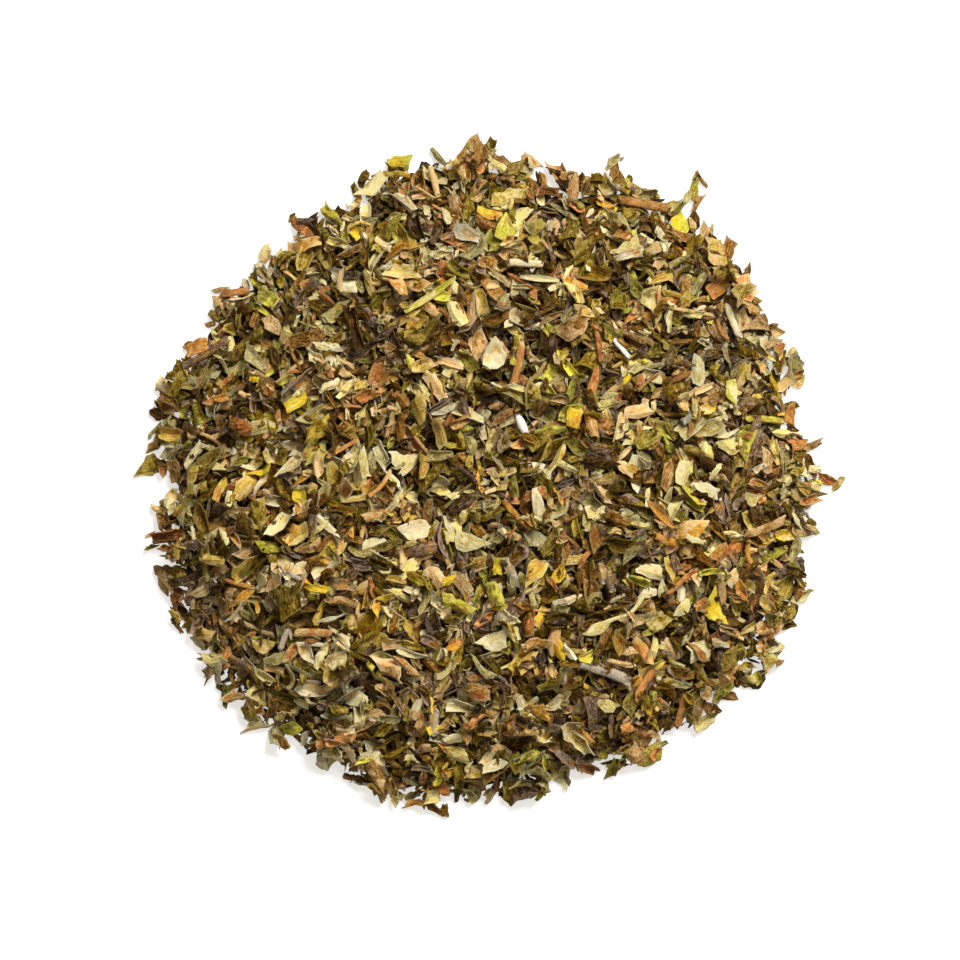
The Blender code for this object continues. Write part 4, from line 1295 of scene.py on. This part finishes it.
# %% The laid flakes as pieces
def laid_points(batch, flakes):
    """The closed flakes of a batch, turned and put in their places, in metres."""
    picked = [flake.index for flake in flakes]
    turns = np.array([flake.turn for flake in flakes])
    places = np.array([flake.place for flake in flakes])[:, None, :]
    return (np.einsum("nij,npj->npi", turns, batch.points[picked]) + places) * MM


GROUP_FINISH = {
    "under_flakes": "mixed_leaf",
    "leaf_chips": "olive_leaf",
    "leaf_slivers": "green_leaf",
    "rolled_leaf": "charcoal_leaf",
    "leaf_crumbs": "brown_leaf",
    "stem_bits": "grey_stem",
    "rim_flakes": "brown_leaf",
    "dressing": "green_leaf",
    "known_leaf": "golden_leaf",
    "known_rod": "orange_stem",
}
MOST_FACES = 90000  # of four sides in one piece
CLOUDS = 0.16  # how much lighter and darker the mix is from place to place
CLOUD_REACHES = (10, 6)  # cells of the two running means that make the clouds soft

clouds = np.random.default_rng(15).normal(0.0, 1.0, (CELLS, CELLS))
for reach in CLOUD_REACHES:
    clouds = smoothed(clouds, reach)
clouds = np.exp(CLOUDS * clouds / clouds.std())


def cloud_over(flakes):
    """How much lighter or darker each flake is for where it lies."""
    places = np.array([flake.place for flake in flakes])
    return clouds[cell(places[:, 1]), cell(places[:, 0])][:, None]


for name, flakes in laid.items():
    batch = batches[name]
    share = math.ceil(len(flakes) * len(batch.form.faces) / MOST_FACES)
    for part in range(share):
        some = flakes[part::share]
        picked = [flake.index for flake in some]
        points, cloud = laid_points(batch, some), cloud_over(some)
        tones = within_white(batch.tones[picked] * cloud)
        seconds = within_white(batch.seconds[picked] * cloud)
        label = f"{name}_{part + 1}"
        mesh = mesh_of(label, points, batch.form, batch.places[picked], tones, seconds)
        add_piece(label, mesh, GROUP_FINISH[name], "leaf_heap")
        print(label, len(some), "flakes,", 2 * len(mesh.polygons), "triangles")

# %% [markdown]
# ## The pieces that stand out
# Some sixty pieces catch the eye in the photograph, and each is a node of the imported model. Its
# detailed piece takes its place, its direction and its size from the node, so it lies where the
# model says. Its form and tones are chosen here from the photograph.

# %% How each of them looks
Look = namedtuple("Look", "form tone second")
LOOKS = {
    "rust_flake_top_left": Look("leaf", "rust", "orange"),
    "yellow_square_chip": Look("leaf", "yellow", "amber"),
    "golden_flake_top_left": Look("leaf", "straw", "amber"),
    "orange_stem_left_rim": Look("rod", "orange", "rust"),
    "sage_flake_top": Look("leaf", "pale_green", "sage"),
    "olive_oval_flake": Look("leaf", "sage", "straw"),
    "long_green_blade": Look("blade", "lime", "sage"),
    "cream_flake_upper_left": Look("leaf", "cream", "pale_green"),
    "lime_flake_upper_left": Look("leaf", "lime", "moss"),
    "yellow_flake_left": Look("leaf", "yellow", "lime"),
    "orange_flake_left_tip": Look("leaf", "amber", "orange"),
    "long_brown_stem": Look("rod", "slate", "brown"),
    "brown_flake_left": Look("leaf", "brown", "umber"),
    "charcoal_needle_left": Look("roll", "charcoal", "umber"),
    "golden_strip_top": Look("leaf", "amber", "olive"),
    "cream_stick_top": Look("rod", "straw", "tan"),
    "big_orange_stem": Look("rod", "brown", "orange"),
    "yellow_flake_top_right": Look("leaf", "yellow", "lime"),
    "olive_flake_top": Look("leaf", "olive", "sage"),
    "lime_flake_top": Look("leaf", "lime", "olive"),
    "sage_flake_right": Look("leaf", "sage", "grey_green"),
    "dark_green_flake_right": Look("leaf", "moss", "dark_olive"),
    "cream_flake_middle": Look("leaf", "cream", "straw"),
    "orange_stem_middle": Look("rod", "orange", "straw"),
    "cream_stem_top": Look("rod", "cream", "straw"),
    "cream_strip_top": Look("blade", "pale_green", "cream"),
    "small_white_stem": Look("rod", "white", "ash"),
    "white_pip": Look("seed", "white", "ash"),
    "golden_flake_middle": Look("leaf", "amber", "yellow"),
    "lime_oval_right": Look("leaf", "lime", "pale_green"),
    "yellow_flake_right": Look("leaf", "yellow", "straw"),
    "cream_stem_right": Look("rod", "cream", "ash"),
    "orange_stem_upper_right": Look("rod", "orange", "rust"),
    "orange_flake_upper_right": Look("leaf", "orange", "amber"),
    "olive_twig_right": Look("rod", "olive", "lime"),
    "orange_flake_right_rim": Look("leaf", "orange", "rust"),
    "green_flake_right": Look("leaf", "moss", "olive"),
    "cream_flake_right": Look("leaf", "pale_green", "sage"),
    "golden_fibrous_leaf": Look("leaf", "straw", "amber"),
    "orange_blade_right": Look("blade", "orange", "amber"),
    "cream_stick_middle": Look("leaf", "cream", "pale_green"),
    "rust_twig_middle": Look("rod", "rust", "amber"),
    "charcoal_curl_middle": Look("roll", "charcoal", "slate"),
    "cream_flake_lower_left": Look("leaf", "cream", "straw"),
    "rust_curl_left_tip": Look("roll", "rust", "umber"),
    "yellow_flake_lower_left": Look("leaf", "yellow", "lime"),
    "yellow_strip_left": Look("leaf", "yellow", "amber"),
    "dark_olive_leaf": Look("leaf", "dark_olive", "olive"),
    "orange_stem_lower_left": Look("rod", "straw", "orange"),
    "cream_stem_lower_left": Look("rod", "cream", "straw"),
    "grey_stem_lower_left": Look("rod", "ash", "slate"),
    "lime_flake_bottom_left": Look("leaf", "lime", "moss"),
    "brown_curl_bottom": Look("roll", "brown", "straw"),
    "lime_flake_lower": Look("leaf", "lime", "moss"),
    "leaf_with_stalk": Look("own", "sage", "pale_green"),
    "yellow_flake_lower_right": Look("leaf", "yellow", "lime"),
    "fibrous_stick_lower": Look("rod", "ash", "umber"),
    "orange_stem_bottom_right": Look("rod", "orange", "brown"),
    "olive_flake_right_tip": Look("leaf", "olive", "moss"),
}
missing = set(LOOSE_NODES) ^ set(LOOKS)
print("looks:", len(LOOKS), "missing or spare:", sorted(missing))


# %% Where a node lies, and which way
def own_axes(node):
    """A node's middle, its three sides from long to short, and their directions as columns."""
    corners = np.array([tuple(vertex.co) for vertex in frame["nodes"][node].data.vertices])
    middle = corners.mean(axis=0)
    _, _, axes = np.linalg.svd(corners - middle, full_matrices=False)
    if axes[2][2] < 0.0:
        axes[2] = -axes[2]
    axes[1] = np.cross(axes[2], axes[0])
    along = (corners - middle) @ axes.T
    sides = along.max(axis=0) - along.min(axis=0)
    middle = middle + ((along.max(axis=0) + along.min(axis=0)) / 2.0) @ axes
    return middle, sides, axes.T


LEAF_GRID = (9, 7)
BLADE_GRID = (13, 5)
ROLL_GRID = (9, 13)
ROD_GRID = (11, 8)
FULL_LENGTH = 1.05  # times its node's, because bending and tearing take some of it
FULL_WIDTH = 1.12
UNROLLED = 2.2  # times as wide as the roll
ROD_WIDTH = 0.95  # of the node's, because a rod's ridges add some


def detailed_leaf(dice, sides, grid, curl, fold, taper, ragged, thickness=0.14):
    """One bent sheet in mm that fills a node's length and width."""
    length, width = np.array([sides[0]]) * FULL_LENGTH, np.array([sides[1]]) * FULL_WIDTH
    sheets = bent_sheets(dice, length, width, *grid, curl, fold, 0.5, 0.25, taper, ragged)
    points, places = thickened(sheets, np.array([thickness]))
    return points, places, sheet_form(*grid)


def detailed_shape(dice, form, sides):
    """The closed points of one stand-out piece in mm, round its middle."""
    if form == "leaf":
        return detailed_leaf(dice, sides, LEAF_GRID, (0.3, 1.0), (0.05, 0.4), (0.0, 0.45), 0.14)
    if form == "blade":
        return detailed_leaf(dice, sides, BLADE_GRID, (0.6, 1.5), (0.2, 0.5), (0.5, 0.9), 0.1)
    if form == "roll":
        wide = (sides[0], sides[1] * UNROLLED)
        return detailed_leaf(dice, wide, ROLL_GRID, (4.6, 5.6), (0.0, 0.1), (0.1, 0.5), 0.1, 0.16)
    length, width = np.array([sides[0]]), np.array([sides[1] * ROD_WIDTH])
    rods = bent_rods(dice, length, width, *ROD_GRID, bend=0.08)
    points, places = rods.points.reshape(1, -1, 3), rods.place.reshape(1, -1, 3)
    return points, places, rod_form(*ROD_GRID)


print("grids:", LEAF_GRID, BLADE_GRID, ROLL_GRID, ROD_GRID)


# %% Making them
SLOTS = {row["node"]: row["material_slot"] for row in frame["record"]["subparts"]}
TABLE_CLEARANCE = 0.02 * MM
SAME_PLACE = 0.001 * MM  # corners nearer than this are one


def copy_of_node(node, look):
    """A rounded copy of a node's own mesh, for forms that the sheets and rods can't give."""
    mesh = frame["nodes"][node].data.copy()
    mesh.name = f"{node}_detail"
    shape = bmesh.new()
    shape.from_mesh(mesh)
    bmesh.ops.remove_doubles(shape, verts=shape.verts, dist=SAME_PLACE)
    shape.to_mesh(mesh)
    shape.free()
    tone_whole(mesh, TONES[look.tone], TONES[look.second])
    mesh.shade_smooth()
    return mesh


def detailed_mesh(node, look):
    """The detailed mesh of one stand-out piece, where its node lies."""
    if look.form in ("seed", "own"):
        return copy_of_node(node, look)
    dice = np.random.default_rng(sum(ord(letter) for letter in node))
    middle, sides, axes = own_axes(node)
    points, places, form = detailed_shape(dice, look.form, sides / MM)
    points = points @ axes.T * MM + middle
    points[..., 2] += max(0.0, TABLE_CLEARANCE - points[..., 2].min())
    tones, seconds = np.array([TONES[look.tone]]), np.array([TONES[look.second]])
    return mesh_of(f"{node}_detail", points, form, places, tones, seconds)


for node, look in LOOKS.items():
    piece = add_piece(f"{node}_detail", detailed_mesh(node, look), SLOTS[node], node)
    rounding = piece.modifiers.new("rounding", "SUBSURF")
    rounding.levels = 1
    rounding.render_levels = 1
print("stand-out pieces:", len(LOOKS))

# %% [markdown]
# ## Table, light and camera
# The heap lies on a white table under one large soft lamp from the upper right, with an even fill
# from all round, and the camera looks straight down. The table is an ordinary white surface that
# takes the heap's shadow. It also glows a little, for the camera and for reflections only, which
# lifts it to the clean white of the photograph without putting any more light on the leaf. The
# glow grows with the distance from the heap, so that a low view meets white too.

# %% The table
TABLE_SIDE = 3.0  # m
TABLE_TOP = -0.02 * MM  # just under the lowest flake
TABLE_WHITE = 0.84
TABLE_GLOW = 0.64
TABLE_GLOW_TONE = (1.0, 0.97, 0.91)
GLOW_REACH = (60.0 * MM, 200.0 * MM)  # from here to there the glow grows to full white


def backdrop_share(tree):
    """A socket that is 1 for rays that show the backdrop and 0 for rays that light the leaf."""
    rays = tree.nodes.new("ShaderNodeLightPath")
    share = rays.outputs["Is Camera Ray"]
    for label in ("Is Glossy Ray", "Is Transmission Ray"):
        share = calculated(tree, "MAXIMUM", share, rays.outputs[label])
    return share


def table_material():
    """A matt white with the glow added."""
    material = bpy.data.materials.new("white_table")
    material.use_nodes = True
    tree = material.node_tree
    tree.nodes.clear()
    out = tree.nodes.new("ShaderNodeOutputMaterial")
    white = add_node(tree, "ShaderNodeBsdfDiffuse", {"Color": (TABLE_WHITE, TABLE_WHITE, TABLE_WHITE, 1.0)})
    glow = add_node(tree, "ShaderNodeEmission", {"Color": (*TABLE_GLOW_TONE, 1.0)})
    distance = add_node(tree, "ShaderNodeVectorMath", operation="LENGTH")
    tree.links.new(tree.nodes.new("ShaderNodeNewGeometry").outputs["Position"], distance.inputs[0])
    rise = mapped(tree, distance.outputs["Value"], GLOW_REACH, (TABLE_GLOW, 1.0))
    tree.links.new(calculated(tree, "MULTIPLY", backdrop_share(tree), rise), glow.inputs["Strength"])
    both = tree.nodes.new("ShaderNodeAddShader")
    tree.links.new(white.outputs[0], both.inputs[0])
    tree.links.new(glow.outputs[0], both.inputs[1])
    tree.links.new(both.outputs[0], out.inputs["Surface"])
    return material


half = TABLE_SIDE / 2.0
square = ((-half, -half), (half, -half), (half, half), (-half, half))
table_mesh = bpy.data.meshes.new("table")
table_mesh.from_pydata([(x, y, TABLE_TOP) for x, y in square], [], [(0, 1, 2, 3)])
table_mesh.materials.append(table_material())
table = bpy.data.objects.new("table", table_mesh)
bpy.context.scene.collection.objects.link(table)
print("table:", TABLE_SIDE, "m")

# %% The lamp and the fill
KEY_PLACE = (0.22, 0.34, 0.46)  # m
KEY_SIDE = 0.28  # m
KEY_POWER = 4.7  # W
FILL_STRENGTH = 0.2

key_data = bpy.data.lights.new("key_softbox", "AREA")
key_data.shape = "SQUARE"
key_data.size = KEY_SIDE
key_data.energy = KEY_POWER
key = bpy.data.objects.new("key_softbox", key_data)
key.location = KEY_PLACE
key.rotation_euler = (-Vector(KEY_PLACE)).to_track_quat("-Z", "Y").to_euler()
bpy.context.scene.collection.objects.link(key)

world = bpy.data.worlds.new("fill")
bpy.context.scene.world = world
world.use_nodes = True
tree = world.node_tree
fill = tree.nodes["Background"]
strength = mapped(tree, backdrop_share(tree), (0.0, 1.0), (FILL_STRENGTH, 1.0))
tree.links.new(strength, fill.inputs["Strength"])
fill.inputs["Color"].default_value = (1.0, 1.0, 1.0, 1.0)
print("key:", KEY_POWER, "W, fill:", FILL_STRENGTH)

# %% The camera
FRAME_WIDTH = 124.8 * MM  # of the table across the photograph
VIEW_MIDDLE = (-0.65 * MM, 0.39 * MM)
CAMERA_HEIGHT = 0.75  # m
SENSOR = 36.0  # mm

camera_data = bpy.data.cameras.new("camera")
camera_data.sensor_width = SENSOR
camera_data.lens = SENSOR * CAMERA_HEIGHT / FRAME_WIDTH
camera_data.clip_start = 0.01
camera = bpy.data.objects.new("camera", camera_data)
camera.location = (*VIEW_MIDDLE, CAMERA_HEIGHT)
bpy.context.scene.collection.objects.link(camera)
bpy.context.scene.camera = camera
bpy.context.scene.view_settings.view_transform = "Standard"
print("lens:", round(camera_data.lens), "mm")
